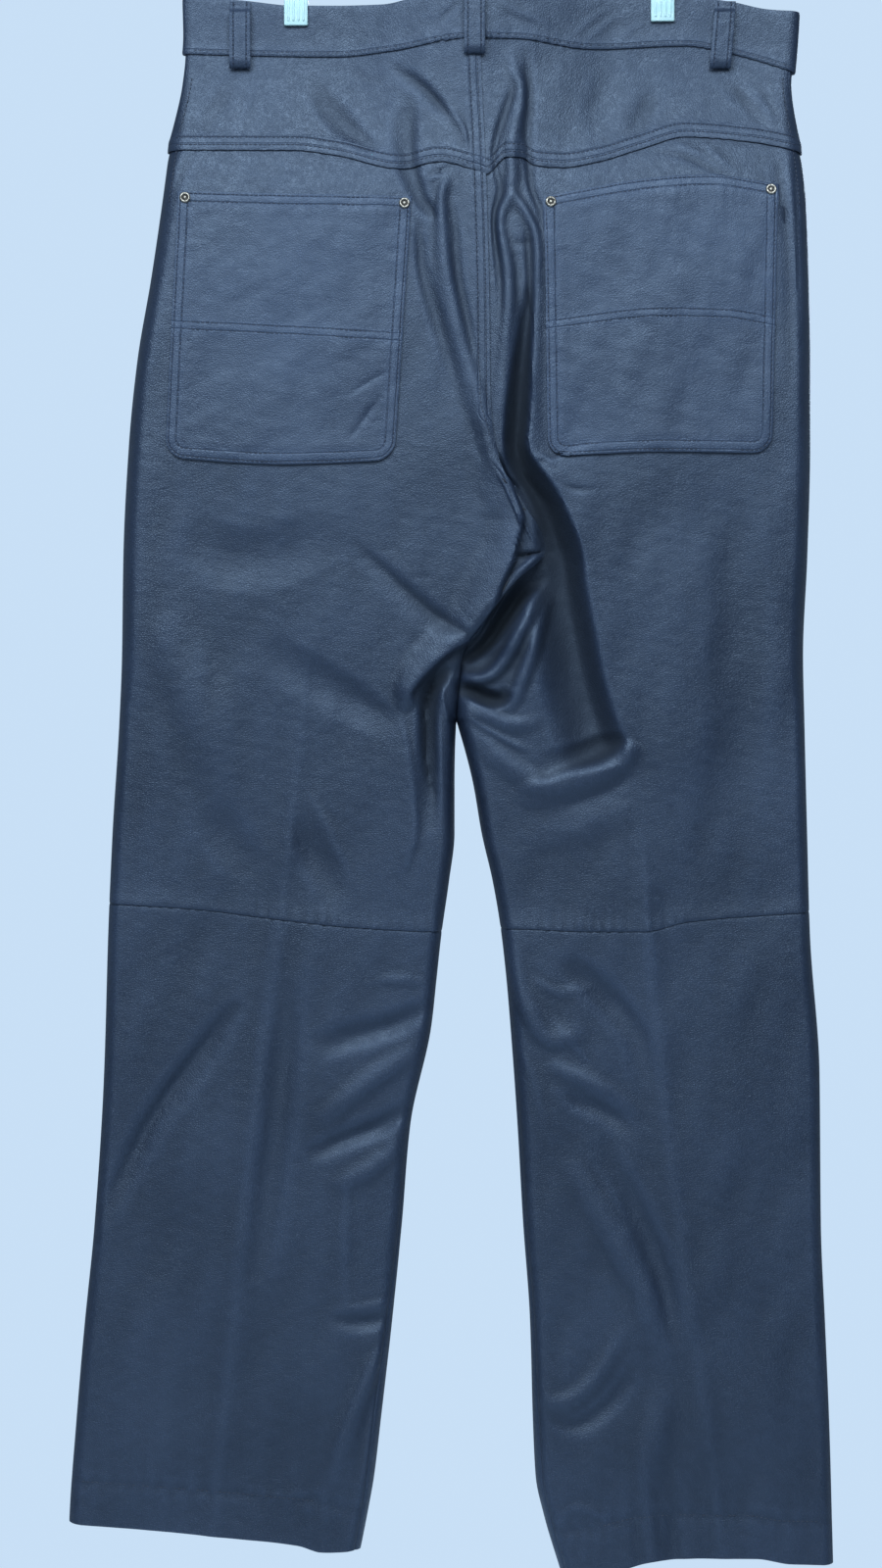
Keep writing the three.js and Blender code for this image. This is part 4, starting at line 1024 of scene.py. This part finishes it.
def back_yoke(side):
    panel = Panel(side, "back", 232, 2.0, [band_bottom["back"], yoke_bottom], [84], [(170, 232, 1.5)])
    lift = 0.15 + lap(panel.to_bottom, 1.25, 13) + turned_in(panel.to_side)
    lift += 0.35 * bell(panel.to_bottom - 6.4, 2.6) - 0.3 * np.exp(-panel.to_bottom / 0.6)
    if side == "left":
        lift += lap(panel.to_middle, 1.2, 11) * (1 - bell(panel.to_bottom, 9))
        lift += 0.3 * bell(panel.to_middle - 5, 2.4)
    else:
        lift -= 0.4 * bell(panel.to_middle, 3)
    points = panel.raised(lift)
    points[..., 2] -= 1.4 * np.exp(-panel.to_bottom / 3)
    if side == "left":
        points[..., 0] += 1.4 * np.exp(-panel.to_middle / 3)
    distances = {"wear": panel.wear(), "shade": panel.shade(), "to_bottom": panel.to_bottom}
    distances |= {"to_side": panel.to_side, "to_middle": panel.to_middle}
    return cloth_sheet(
        f"yoke_{side}", "back", points, HIDE_YOKE_LEFT if side == "left" else HIDE_YOKE, distances, LEATHER,
    )


def seat_and_leg(down):
    """How much a place belongs to the seat's seam and to the leg's, each from 0 to 1."""
    return 1 - ease(down, 430, 500), ease(down, CROTCH, CROTCH + 40)


def meet(points, panel, overlap):
    """Draws a thigh's middle edge over its neighbour on the seat, and up to it at the fork."""
    seat, leg = seat_and_leg(panel.down)
    meeting = 0.4 * (1 - seat) * (1 - leg) + (overlap if panel.side == "left" else 0) * seat
    points[..., 0] += SIDES[panel.side] * meeting * np.exp(-panel.to_middle / 3)


def back_thigh(side):
    lines = [yoke_bottom, CROTCH, knee_seam]
    closer = [(118, 262, 1.5)], [(0, 80, 2), (195, 460, 1.6)]
    panel = Panel(side, "back", 262, BACK_STEP, lines, [400, 150], *closer)
    within = ease(np.minimum(panel.to_side, panel.to_middle), 6, 18)
    lift = turned_in(panel.to_side) - 0.5 * bell(panel.to_top, 5) + lap(panel.to_bottom, 0.9, 9) * within
    lift -= 0.35 * np.exp(-panel.to_bottom / 0.7)
    seat, leg = seat_and_leg(panel.down)
    lift += turned_in(panel.to_middle) * leg
    if side == "left":
        lift += (lap(panel.to_middle, 1.35, 10) + 0.3 * bell(panel.to_middle - 5, 2.4)) * seat
    else:
        lift -= 0.4 * bell(panel.to_middle, 3) * seat
    points = panel.raised(lift)
    if side == "right":
        under = ease(panel.down, 325, 352) * (1 - ease(panel.down, 470, CROTCH))
        points[..., 1] *= 1 - 0.5 * under * bell(panel.to_middle, 14 + 22 * ease(panel.down, 385, 425))
    meet(points, panel, 1.4)
    faded = panel.to_middle + 30 * ease(panel.down, 300, 330)
    distances = {"wear": panel.wear(), "shade": panel.shade(), "to_middle": faded}
    return cloth_sheet(
        f"back_thigh_{side}", "back", points, HIDE_THIGH if side == "left" else HIDE, distances, LEATHER,
    )


def shin(side, face):
    panel = Panel(side, face, 262, BACK_STEP if face == "back" else FRONT_STEP, [knee_seam, hem_line], [455])
    lift = turned_in(panel.to_side, panel.to_middle) - 0.5 * np.exp(-panel.to_top / 0.8)
    return cloth_sheet(
        f"{face}_shin_{side}", face, panel.raised(lift), HIDE, {"wear": panel.wear()}, LEATHER,
    )


def front_thigh(side):
    panel = Panel(side, "front", 250, FRONT_STEP, [band_bottom["front"], CROTCH, knee_seam], [476, 150])
    seat, leg = seat_and_leg(panel.down)
    lift = turned_in(panel.to_side) + turned_in(panel.to_middle) * leg
    lift -= 0.35 * np.exp(-panel.to_bottom / 0.7)
    if side == "left":
        lift += lap(panel.to_middle, 1.35, 12) * seat
    points = panel.raised(lift)
    meet(points, panel, 1.2)
    return cloth_sheet(
        f"front_thigh_{side}", "front", points, HIDE, {"wear": panel.wear()}, LEATHER,
    )


def band_places(side, face):
    """Points of one half of the waistband on one face, and its values for the leather."""
    panel = Panel(side, face, 232, 2.2, [band_top, band_bottom[face]], [40])
    lift = BAND_PROUD + lap(panel.to_bottom, 0.75, 8) - 0.35 * np.exp(-panel.to_bottom / 0.6)
    lift += 0.2 * bell(panel.to_bottom - 1.2, 1.2) - 0.5 * np.exp(-panel.to_top / 1.2)
    points = panel.raised(lift)
    points[..., 2] -= 1.1 * np.exp(-panel.to_bottom / 3)
    return points, {"wear": panel.wear() * 0.6, "to_bottom": panel.to_bottom}


def both_halves(left, right):
    """The left half's columns from its side to the middle, then the right half's from there to its side."""
    return np.concatenate([left, right[:, -2::-1]], axis=1)


def waistband_back():
    (left, left_values), (right, right_values) = (band_places(side, "back") for side in SIDES)
    distances = {label: both_halves(left_values[label], right_values[label]) for label in left_values}
    return cloth_sheet(
        "waistband_back", "back", both_halves(left, right), HIDE_BAND, distances, BAND_LEATHER,
    )


def waistband_front(side):
    points, distances = band_places(side, "front")
    return cloth_sheet(
        f"waistband_front_{side}", "front", points, HIDE_BAND, distances, BAND_LEATHER,
    )


# x, down of places along each pocket's top edge, bottom edge and the stitches across its middle
POCKETS = {
    "left": {
        "top": [[-214, 141], [-131, 143], [-48, 145]],
        "bottom": [[-223, 331], [-140, 336], [-60, 333]],
        "cross": [[-219, 237], [-132, 241], [-54, 246]],
    },
    "right": {
        "top": [[46, 145], [129, 131], [163, 129], [213, 136]],
        "bottom": [[49, 331], [129, 327], [208, 328]],
        "cross": [[48, 237], [134, 228], [176, 229], [211, 235]],
    },
}
POCKET_WIDE, POCKET_HIGH, POCKET_ROUND, POCKET_PROUD = 166.0, 192.0, 14.0, 2.0


def pocket_place(pocket, u, v):
    """x, down of a place on a pocket; u runs from its left edge and v from its top, both from 0 to 1."""
    top, bottom = np.array(pocket["top"], dtype=float), np.array(pocket["bottom"], dtype=float)
    x_top = top[0, 0] + (top[-1, 0] - top[0, 0]) * u
    x_low = bottom[0, 0] + (bottom[-1, 0] - bottom[0, 0]) * u
    down_top, down_low = smooth_line(top)(x_top), smooth_line(bottom)(x_low)
    return x_top + (x_low - x_top) * v, down_top + (down_low - down_top) * v


def pocket(side):
    form = POCKETS[side]
    across, along = (spread(length, 2.0, at_ends=0.5) / length for length in (POCKET_WIDE, POCKET_HIGH))
    u, v = np.meshgrid(across, along)
    above, under = (1 - v) * POCKET_HIGH, v * POCKET_HIGH
    into_round = np.clip(POCKET_ROUND - above, 0, POCKET_ROUND)
    inset = (POCKET_ROUND - np.sqrt(POCKET_ROUND**2 - into_round**2)) / POCKET_WIDE
    u = inset + u * (1 - 2 * inset)
    x, down = pocket_place(form, u, v)
    beside = np.minimum(u, 1 - u) * POCKET_WIDE
    to_round = POCKET_ROUND - np.hypot(POCKET_ROUND - beside, POCKET_ROUND - above)
    in_corner = (beside < POCKET_ROUND) & (above < POCKET_ROUND)
    to_low = np.where(in_corner, to_round, np.minimum(beside, above))
    to_edge = np.minimum(np.maximum(to_low, 0), under)
    to_cross = down - smooth_line(form["cross"])(x)
    lift = POCKET_PROUD + 0.45 * ease(to_edge, 0, 1.6)
    lift += 0.4 * bell(to_edge - 4.6, 2.2) + 0.3 * bell(to_edge - 12, 4) + 0.3 * bell(to_cross, 1.9)
    lift += 0.16 * waves(x, down, 26, 21 if side == "left" else 22)
    lift += puckers(x, under - 9, 7.5, 0.28, 10) + puckers(down, beside - 9, 9.0, 0.16, 6)
    lift += puckers(x + 2, above - 9, 9.0, 0.16, 6) + puckers(x, to_cross - 3, 8.0, 0.14, 7)
    points, _ = on_face("back", x, down, lift)
    distances = {"wear": 0.6 * np.exp(-to_edge / 4) + 0.1, "to_edge": to_edge, "to_cross_row": to_cross}
    return cloth_sheet(
        f"pocket_{side}", "back", points, HIDE_POCKET_PAINTED_LIGHT, distances, POCKET_LEATHER,
    )


# name: face, x at the lower end, how far the top leans, down of the lower end
LOOPS = {
    "belt_loop_back_left": ("back", -171, 0, 50),
    "belt_loop_back_middle": ("back", -3, 0, 42),
    "belt_loop_back_right": ("back", 173, 4, 50),
    "belt_loop_front_left": ("front", -107, 0, 52),
    "belt_loop_front_right": ("front", 107, 0, 52),
}
LOOP_WIDTH, LOOP_ROOM, LOOP_GAP = 15.0, 3.6, 0.5


def loop_start(x):
    return float(band_top(np.array(x))) + 1.5


def loop_depth(name, places, down):
    """How deep a loop's inner side lies: near the band at its sewn ends, and off it between them."""
    face, x, _, end = LOOPS[name]
    start = loop_start(x)
    room = ease(down - start, 5, 9) * (0.55 + 0.45 * ease(end - down, 1, 6))
    deepest = np.abs(depth_on_face(face, np.full(2, float(x)), np.array([start, end]))).max()
    depth = np.abs(depth_on_face(face, places, down))
    depth += (np.maximum(depth, deepest) - depth) * room
    return depth + BAND_PROUD + LOOP_GAP + LOOP_ROOM * room


def belt_loop(name):
    face, x, lean, end = LOOPS[name]
    start = loop_start(x)
    across, along = (spread(length, 1.6, at_ends=0.5) / length for length in (LOOP_WIDTH, end - start))
    across, along = np.meshgrid(across, along)
    down = start + (end - start) * along
    places = x + (across - 0.5) * LOOP_WIDTH + lean * (1 - along)
    to_edge = np.minimum(across, 1 - across) * LOOP_WIDTH
    depth = loop_depth(name, places, down) + LOOP_LEATHER - 0.35 * np.exp(-to_edge / 0.7)
    depth += 0.3 * bell(end - down - 2.5, 2) - 2.0 * np.exp(-(end - down) / 0.8)
    depth += 0.12 * waves(places, down, 9, 31)
    points = np.stack([places, OUTWARD[face] * depth, WAIST_LEVEL - down], axis=-1)
    distances = {"wear": 0.6 * np.exp(-to_edge / 1.5), "to_edge": to_edge}
    return cloth_sheet(name, face, points, HIDE_LOOP, distances, LOOP_LEATHER)


# Stitches
def one_stitch():
    """The places and faces of one stitch, which lies along x."""
    deselect_all()
    bpy.ops.mesh.primitive_uv_sphere_add(segments=6, ring_count=4, radius=1)
    model = bpy.context.object
    places = np.array([list(v.co) for v in model.data.vertices])
    long = np.sign(places[:, 2]) * np.abs(places[:, 2]) ** 0.6
    places = np.stack([long * 1.25, places[:, 0] * 0.36, places[:, 1] * 0.34], axis=-1)
    faces = [tuple(p.vertices) for p in model.data.polygons]
    bpy.data.objects.remove(model, do_unlink=True)
    return places, faces


STITCH, STITCH_FACES = one_stitch()
PITCH = 3.3


def row_of_stitches(face, x, down, lift):
    """Places, directions and outward directions of the stitches along a line on one face."""
    points, _ = on_face(face, x, down, lift)
    run = np.concatenate([[0], np.cumsum(np.linalg.norm(np.diff(points, axis=0), axis=1))])
    at = np.arange(PITCH / 2, run[-1], PITCH)

    def moved(step):
        return on_face(face, np.interp(at + step, run, x), np.interp(at + step, run, down), lift)

    places, normals = moved(0)
    return places, moved(1)[0] - moved(-1)[0], normals


def sewing(name, rows):
    """One mesh of all the stitches in some rows."""
    places, along, normals = (np.concatenate(parts) for parts in zip(*rows))
    along /= np.linalg.norm(along, axis=1, keepdims=True)
    sideways = np.cross(normals, along)
    sideways /= np.linalg.norm(sideways, axis=1, keepdims=True)
    up = np.cross(along, sideways)
    corners = (
        places[:, None]
        + STITCH[None, :, :1] * along[:, None]
        + STITCH[None, :, 1:2] * sideways[:, None]
        + STITCH[None, :, 2:] * up[:, None]
    )
    faces = [tuple(i + k * len(STITCH) for i in face) for k in range(len(places)) for face in STITCH_FACES]
    mesh = bpy.data.meshes.new(name)
    mesh.from_pydata((corners.reshape(-1, 3) * MM).tolist(), [], faces)
    piece = bpy.data.objects.new(name, mesh)
    bpy.context.collection.objects.link(piece)
    mesh.materials.append(THREAD)
    mesh.polygons.foreach_set("use_smooth", [True] * len(mesh.polygons))
    return ready(piece, name, "leather")


def yoke_rows():
    rows = []
    for side, low, high in (("left", -216, -1), ("right", 6, 226)):
        x = np.linspace(low, high, 90)
        rows += [row_of_stitches("back", x, yoke_bottom(x) - d + 1.2, 1.35) for d in EDGE_ROWS["yoke"]]
    return rows


def lap_rows():
    down = np.linspace(44, 316, 120)
    rows = []
    for distance in EDGE_ROWS["lap"]:
        drift = distance * (1 - 0.65 * ease(down, 285, 316))
        rows.append(row_of_stitches("back", centre_seam["back"](down) + 1.2 - drift, down, 1.5))
    return rows


def band_rows():
    x_back = np.linspace(-205, 222, 160)
    rows = [row_of_stitches("back", x_back, band_bottom["back"](x_back) - 1.6, BAND_PROUD + 0.7)]
    for low, high in ((-205, -4), (6, 222)):
        x = np.linspace(low, high, 90)
        rows.append(row_of_stitches("front", x, band_bottom["front"](x) - 1.6, BAND_PROUD + 0.7))
    return rows


def pocket_rows(side):
    form, rows = POCKETS[side], []
    for distance in EDGE_ROWS["pocket"]:
        bend = max(POCKET_ROUND - distance, 2)
        du, bend_u = distance / POCKET_WIDE, bend / POCKET_WIDE
        dv, bend_v = distance / POCKET_HIGH, bend / POCKET_HIGH
        turn = np.linspace(0, math.pi / 2, 14)
        top = (np.linspace(0.045, 0.955, 60), np.full(60, dv))
        left = (np.full(60, du), np.linspace(0.045, 1 - dv - bend_v, 60))
        low_left = (du + bend_u * (1 - np.cos(turn)), 1 - dv - bend_v * (1 - np.sin(turn)))
        bottom = (np.linspace(du + bend_u, 1 - du - bend_u, 60), np.full(60, 1 - dv))
        u = np.concatenate([left[0], low_left[0], bottom[0], (1 - low_left[0])[::-1], 1 - left[0][::-1]])
        v = np.concatenate([left[1], low_left[1], bottom[1], low_left[1][::-1], left[1][::-1]])
        for line in ((u, v), top):
            rows.append(row_of_stitches("back", *pocket_place(form, *line), 2.5))
    cross = smooth_line(form["cross"])
    edge = np.array(form["cross"], dtype=float)
    x = np.linspace(edge[0, 0] + 8, edge[-1, 0] - 8, 70)
    rows += [row_of_stitches("back", x, cross(x) + d, 2.55) for d in EDGE_ROWS["cross"]]
    return rows


def loop_rows():
    rows = []
    (inset,) = EDGE_ROWS["loop"]
    for name, (face, x, lean, end) in LOOPS.items():
        start, way = loop_start(x), OUTWARD[face]
        down = np.arange(start + 2, end - 2.5, PITCH)
        along = (down - start) / (end - start)
        for offset in (inset - LOOP_WIDTH / 2, LOOP_WIDTH / 2 - inset):
            places = x + offset + lean * (1 - along)
            depth = loop_depth(name, places, down) + LOOP_LEATHER + 0.1
            points = np.stack([places, way * depth, WAIST_LEVEL - down], axis=-1)
            rows.append((points, np.gradient(points, axis=0), np.tile([0, way, 0], (len(down), 1))))
    return rows


def fly_rows():
    """The curved double row beside the front opening."""
    rows = []
    for inset in (0, 5):
        down = np.linspace(44, 180, 60)
        turn = np.linspace(0, math.pi / 2, 20)
        reach = 36 - inset
        x = centre_seam["front"](down) - reach
        x = np.concatenate([x, centre_seam["front"](180 + 30 * np.sin(turn)) - reach * np.cos(turn) - 1])
        down = np.concatenate([down, 180 + (34 - inset) * np.sin(turn)])
        rows.append(row_of_stitches("front", x, down, 0.25))
    return rows


def hem_rows():
    rows = []
    for face in ("back", "front"):
        for low, high in ((-284, -112), (82, 244)):
            x = np.linspace(low, high, 70)
            rows.append(row_of_stitches(face, x, hem_line(x) - HEM_TURN_UP, 0.05))
    return rows


def side_rows():
    rows = []
    down = np.linspace(56, 150, 50)
    for face, lift in (("back", 0.6), ("front", 0.2)):
        for side, inset in (("right", -7), ("left", 7)):
            rows.append(row_of_stitches(face, outer_edge[side](down) + inset, down, lift))
    return rows


# Metal
def turned_disc(name, rings, sides=40):
    """A round piece: a cylinder's top, inset and raised ring by ring. rings are radius, height."""
    deselect_all()
    radius, height = rings[0]
    place = (0, 0, height / 2)
    bpy.ops.mesh.primitive_cylinder_add(vertices=sides, radius=radius, depth=height, location=place)
    piece = bpy.context.object
    bpy.ops.object.transform_apply(location=True, rotation=True, scale=True)
    bpy.ops.object.mode_set(mode="EDIT")
    bpy.ops.mesh.select_mode(type="FACE")
    for (before, low), (now, high) in zip(rings, rings[1:]):
        bpy.ops.mesh.select_all(action="DESELECT")
        bpy.ops.object.mode_set(mode="OBJECT")
        for face in piece.data.polygons:
            is_cap = face.normal.z > 0.99 and len(face.vertices) == sides
            face.select = is_cap and face.center.xy.length < 1e-4
        bpy.ops.object.mode_set(mode="EDIT")
        bpy.ops.mesh.inset(thickness=before - now, depth=high - low)
    bpy.ops.object.mode_set(mode="OBJECT")
    soften = piece.modifiers.new("soft edges", "BEVEL")
    soften.width, soften.segments, soften.limit_method = 0.18, 2, "ANGLE"
    bpy.ops.object.modifier_apply(modifier=soften.name)
    bpy.ops.object.shade_smooth_by_angle(angle=math.radians(40))
    piece.name = name
    return piece


def sewn_on(piece, face, x, down, lift):
    """Turns and moves a disc on to the cloth, in its mesh."""
    place, normal = on_face(face, [x], [down], lift)
    turn = Vector((0, 0, 1)).rotation_difference(Vector(normal[0])).to_matrix().to_4x4()
    piece.data.transform(Matrix.Scale(MM, 4) @ Matrix.Translation(Vector(place[0])) @ turn)


RIVETS = {
    "rivet_left_outer": (-209, 146),
    "rivet_left_inner": (-53, 150),
    "rivet_right_inner": (51, 149),
    "rivet_right_outer": (208, 140),
}


def rivet(name):
    x, down = RIVETS[name]
    piece = turned_disc(name, [(3.9, 0.7), (3.3, 1.5), (2.5, 1.5), (2.0, 0.8), (1.2, 0.8), (0.7, 1.1)])
    piece.data.materials.append(BRASS)
    piece.data.materials.append(DARK_BRASS)
    for face in piece.data.polygons:
        away = face.center.xy.length
        face.material_index = int(1.0 < away < 2.2 or face.center.z < 0.3)
    sewn_on(piece, "back", x, down, 2.7)
    return ready(piece, name, "rivet_metal", name)


def waist_button():
    rings = [(8.4, 2.0), (7.8, 3.0), (6.2, 3.0), (5.6, 2.3), (2.4, 2.3), (1.6, 2.7)]
    piece = turned_disc("waist_button", rings, 56)
    piece.data.materials.append(BRASS)
    piece.data.materials.append(DARK_BRASS)
    for face in piece.data.polygons:
        away = face.center.xy.length
        face.material_index = int(2.2 < away < 6.1 and 1 < face.center.z < 2.6)
    sewn_on(piece, "front", -12, 17, BAND_PROUD + 0.4)
    return ready(piece, "waist_button", "rivet_metal", "waist_button")


# Hanger
BAR_LEVEL, BAR_HALF, BAR_HEIGHT, BAR_DEPTH = -74.0, 152.0, 11.0, 5.9
CLIP_WIDTH, CLIP_BITE, JAW_INSIDE, JAW_THICK = 17.0, {"left": 19.0, "right": 16.0}, 3.25, 3.0
HOOK_WIRE, HOOK_INSIDE = 3.6, 17.0


def block(low, high, bevel, segments=3):
    """A box between two corners with soft edges."""
    deselect_all()
    low, high = Vector(low) * MM, Vector(high) * MM
    bpy.ops.mesh.primitive_cube_add(size=1, location=(low + high) / 2, scale=high - low)
    piece = bpy.context.object
    bpy.ops.object.transform_apply(location=True, rotation=True, scale=True)
    bpy.ops.object.mode_set(mode="EDIT")
    bpy.ops.mesh.select_all(action="SELECT")
    bpy.ops.mesh.bevel(offset=bevel * MM, segments=segments, affect="EDGES")
    bpy.ops.object.mode_set(mode="OBJECT")
    bpy.ops.object.shade_smooth_by_angle(angle=math.radians(40))
    return piece


def joined(pieces):
    deselect_all()
    for piece in pieces:
        piece.select_set(True)
    bpy.context.view_layer.objects.active = pieces[0]
    bpy.ops.object.join()
    return bpy.context.object


def rib(x, face_y, low, high, way):
    """A raised rib with round ends on a clip's jaw."""
    deselect_all()
    bpy.ops.mesh.primitive_uv_sphere_add(segments=14, ring_count=10, radius=1)
    piece = bpy.context.object
    half = (high - low) / 2
    for vertex in piece.data.vertices:
        across, out, z = vertex.co
        stretch = math.copysign(half - 1, z) if abs(z) > 1e-6 else 0
        vertex.co = Vector((x + across, face_y + way * out * 0.8, (low + high) / 2 + z + stretch)) * MM
    bpy.ops.object.shade_smooth_by_angle(angle=math.radians(60))
    return piece


def clip(side):
    x, low = CLIP_X[side], WAIST_LEVEL - CLIP_BITE[side]
    bridge = BAR_LEVEL + BAR_HEIGHT / 2 + 0.3
    outside = JAW_INSIDE + JAW_THICK
    half = CLIP_WIDTH / 2
    boxes = [
        [(x - half, -outside, low), (x + half, -JAW_INSIDE, bridge + 1.5)],
        [(x - half, JAW_INSIDE, low), (x + half, outside, bridge + 1.5)],
        [(x - half, -outside + 0.4, bridge), (x + half, outside - 0.4, bridge + JAW_THICK)],
    ]
    parts = [block(*corners, 0.9) for corners in boxes]
    for way in (-1, 1):
        for k in (-1.5, -0.5, 0.5, 1.5):
            parts.append(rib(x + k * 3.5, way * outside, low + 3, low + 26, way))
    piece = joined(parts)
    piece.data.materials.append(PLASTIC)
    return ready(piece, f"clip_{side}", "clip_plastic", f"clip_{side}")


def hanger_bar():
    y, z = BAR_DEPTH / 2, BAR_HEIGHT / 2
    piece = block((-BAR_HALF, -y, BAR_LEVEL - z), (BAR_HALF, y, BAR_LEVEL + z), 2.2, 5)
    piece.data.materials.append(PLASTIC)
    return ready(piece, "hanger_bar", "clip_plastic", "hanger_bar")


def hanger_hook():
    radius, middle = HOOK_INSIDE + HOOK_WIRE / 2, -HOOK_INSIDE
    ring = [(radius * math.cos(a), middle + radius * math.sin(a)) for a in np.linspace(-0.45, 3.35, 11)]
    neck = [
        (-radius * 0.78, middle - radius * 0.72),
        (-radius * 0.3, middle - radius * 1.15),
        (-radius * 0.03, middle - radius * 1.6),
        (0, middle - radius * 2.1),
        (0, BAR_LEVEL + BAR_HEIGHT / 2 + 0.3),
    ]
    wire = bpy.data.curves.new("hanger_hook", "CURVE")
    wire.dimensions, wire.bevel_depth, wire.bevel_resolution = "3D", HOOK_WIRE / 2 * MM, 5
    wire.use_fill_caps, wire.resolution_u = True, 10
    line = wire.splines.new("BEZIER")
    line.bezier_points.add(len(ring) + len(neck) - 1)
    for point, (x, z) in zip(line.bezier_points, ring + neck):
        point.co = Vector((x, 0, z)) * MM
        point.handle_left_type = point.handle_right_type = "AUTO"
    piece = bpy.data.objects.new("hanger_hook", wire)
    bpy.context.collection.objects.link(piece)
    deselect_all()
    piece.select_set(True)
    bpy.context.view_layer.objects.active = piece
    bpy.ops.object.convert(target="MESH")
    piece = bpy.context.object
    piece.data.materials.append(STEEL)
    return ready(piece, "hanger_hook", "hanger_metal", "hanger_hook")


for half in SIDES:
    back_yoke(half)
    back_thigh(half)
    front_thigh(half)
    for surface in ("back", "front"):
        shin(half, surface)
    waistband_front(half)
    pocket(half)
    clip(half)
waistband_back()
for label in LOOPS:
    belt_loop(label)
for label in RIVETS:
    rivet(label)
waist_button()
hanger_bar()
hanger_hook()
sewing("stitches_yoke", yoke_rows())
sewing("stitches_back_seam", lap_rows())
sewing("stitches_waistband", band_rows())
sewing("stitches_pocket_left", pocket_rows("left"))
sewing("stitches_pocket_right", pocket_rows("right"))
sewing("stitches_belt_loops", loop_rows())
sewing("stitches_fly", fly_rows())
sewing("stitches_hems", hem_rows())
sewing("stitches_side_seams", side_rows())


# Stage, light and camera
# From here on, sizes are in metres.
FLOOR_RADIUS, FLOOR_LEVEL, FLOOR_THICKNESS = 1.4, -1.6, 0.02
COOL_WHITE = (0.66, 0.81, 1.0)


def floor():
    """A pale floor below the garment."""
    deselect_all()
    place = (0, 0, FLOOR_LEVEL)
    bpy.ops.mesh.primitive_circle_add(vertices=96, radius=FLOOR_RADIUS, fill_type="NGON", location=place)
    piece = bpy.context.object
    bpy.ops.object.transform_apply(location=True, rotation=True, scale=True)
    bpy.ops.object.mode_set(mode="EDIT")
    bpy.ops.mesh.select_all(action="SELECT")
    bpy.ops.mesh.extrude_region_move(TRANSFORM_OT_translate={"value": (0, 0, -FLOOR_THICKNESS)})
    bpy.ops.object.mode_set(mode="OBJECT")
    piece.name = "floor"
    material, *_ = clouded("pale_floor", 6.0, 5.0, (0.58, 0.68, 0.78), (0.74, 0.82, 0.9), 0.9)
    piece.data.materials.append(material)


def soft_light(name, place, aim, size, power):
    data = bpy.data.lights.new(name, "AREA")
    data.shape, data.energy, data.color = "RECTANGLE", power, COOL_WHITE
    data.size, data.size_y = size
    lamp = bpy.data.objects.new(name, data)
    bpy.context.collection.objects.link(lamp)
    lamp.visible_camera = False
    lamp.location = place
    lamp.rotation_euler = (Vector(aim) - Vector(place)).to_track_quat("-Z", "Y").to_euler()


def pale_room():
    """A pale blue-white room, shown at one brightness and lighting the garment at another."""
    world = bpy.context.scene.world or bpy.data.worlds.new("World")
    bpy.context.scene.world = world
    world.use_nodes = True
    tree = world.node_tree
    room = tree.nodes["Background"]
    seen = new_node(tree, "ShaderNodeLightPath").outputs["Is Camera Ray"]
    colour = blend(tree, seen, (0.55, 0.75, 1.0), (0.58, 0.74, 0.92))
    tree.links.new(colour, room.inputs["Color"])
    tree.links.new(mapped(tree, seen, 0, 1, 0.3, 1.0), room.inputs["Strength"])


floor()
pale_room()
soft_light("key", (-0.25, -1.7, 0.98), (0, 0, -0.5), (2.2, 1.2), 91)
soft_light("room", (-0.6, -3.2, -0.35), (0, 0, -0.7), (2.4, 2.0), 21)
soft_light("front_fill", (0.3, 2.8, 0.5), (0, 0, -0.6), (1.8, 1.2), 75)
bpy.context.scene.view_settings.view_transform = "Standard"

# The photo shows 1.12 m of height in the garment's plane, and this is the middle of what it shows.
DISTANCE, HALF_HEIGHT, SENSOR = 2.3, 0.56, 36
PHOTO_X, CLOTH_Y, PHOTO_Z = -0.02695, -0.014, -0.6728
eye = bpy.data.cameras.new("Camera")
eye.sensor_width, eye.lens = SENSOR, SENSOR / 2 * DISTANCE / HALF_HEIGHT
camera = bpy.data.objects.new("Camera", eye)
bpy.context.collection.objects.link(camera)
camera.location = (PHOTO_X, CLOTH_Y - DISTANCE, PHOTO_Z)
camera.rotation_euler = (math.radians(90), 0, 0)
bpy.context.scene.camera = camera
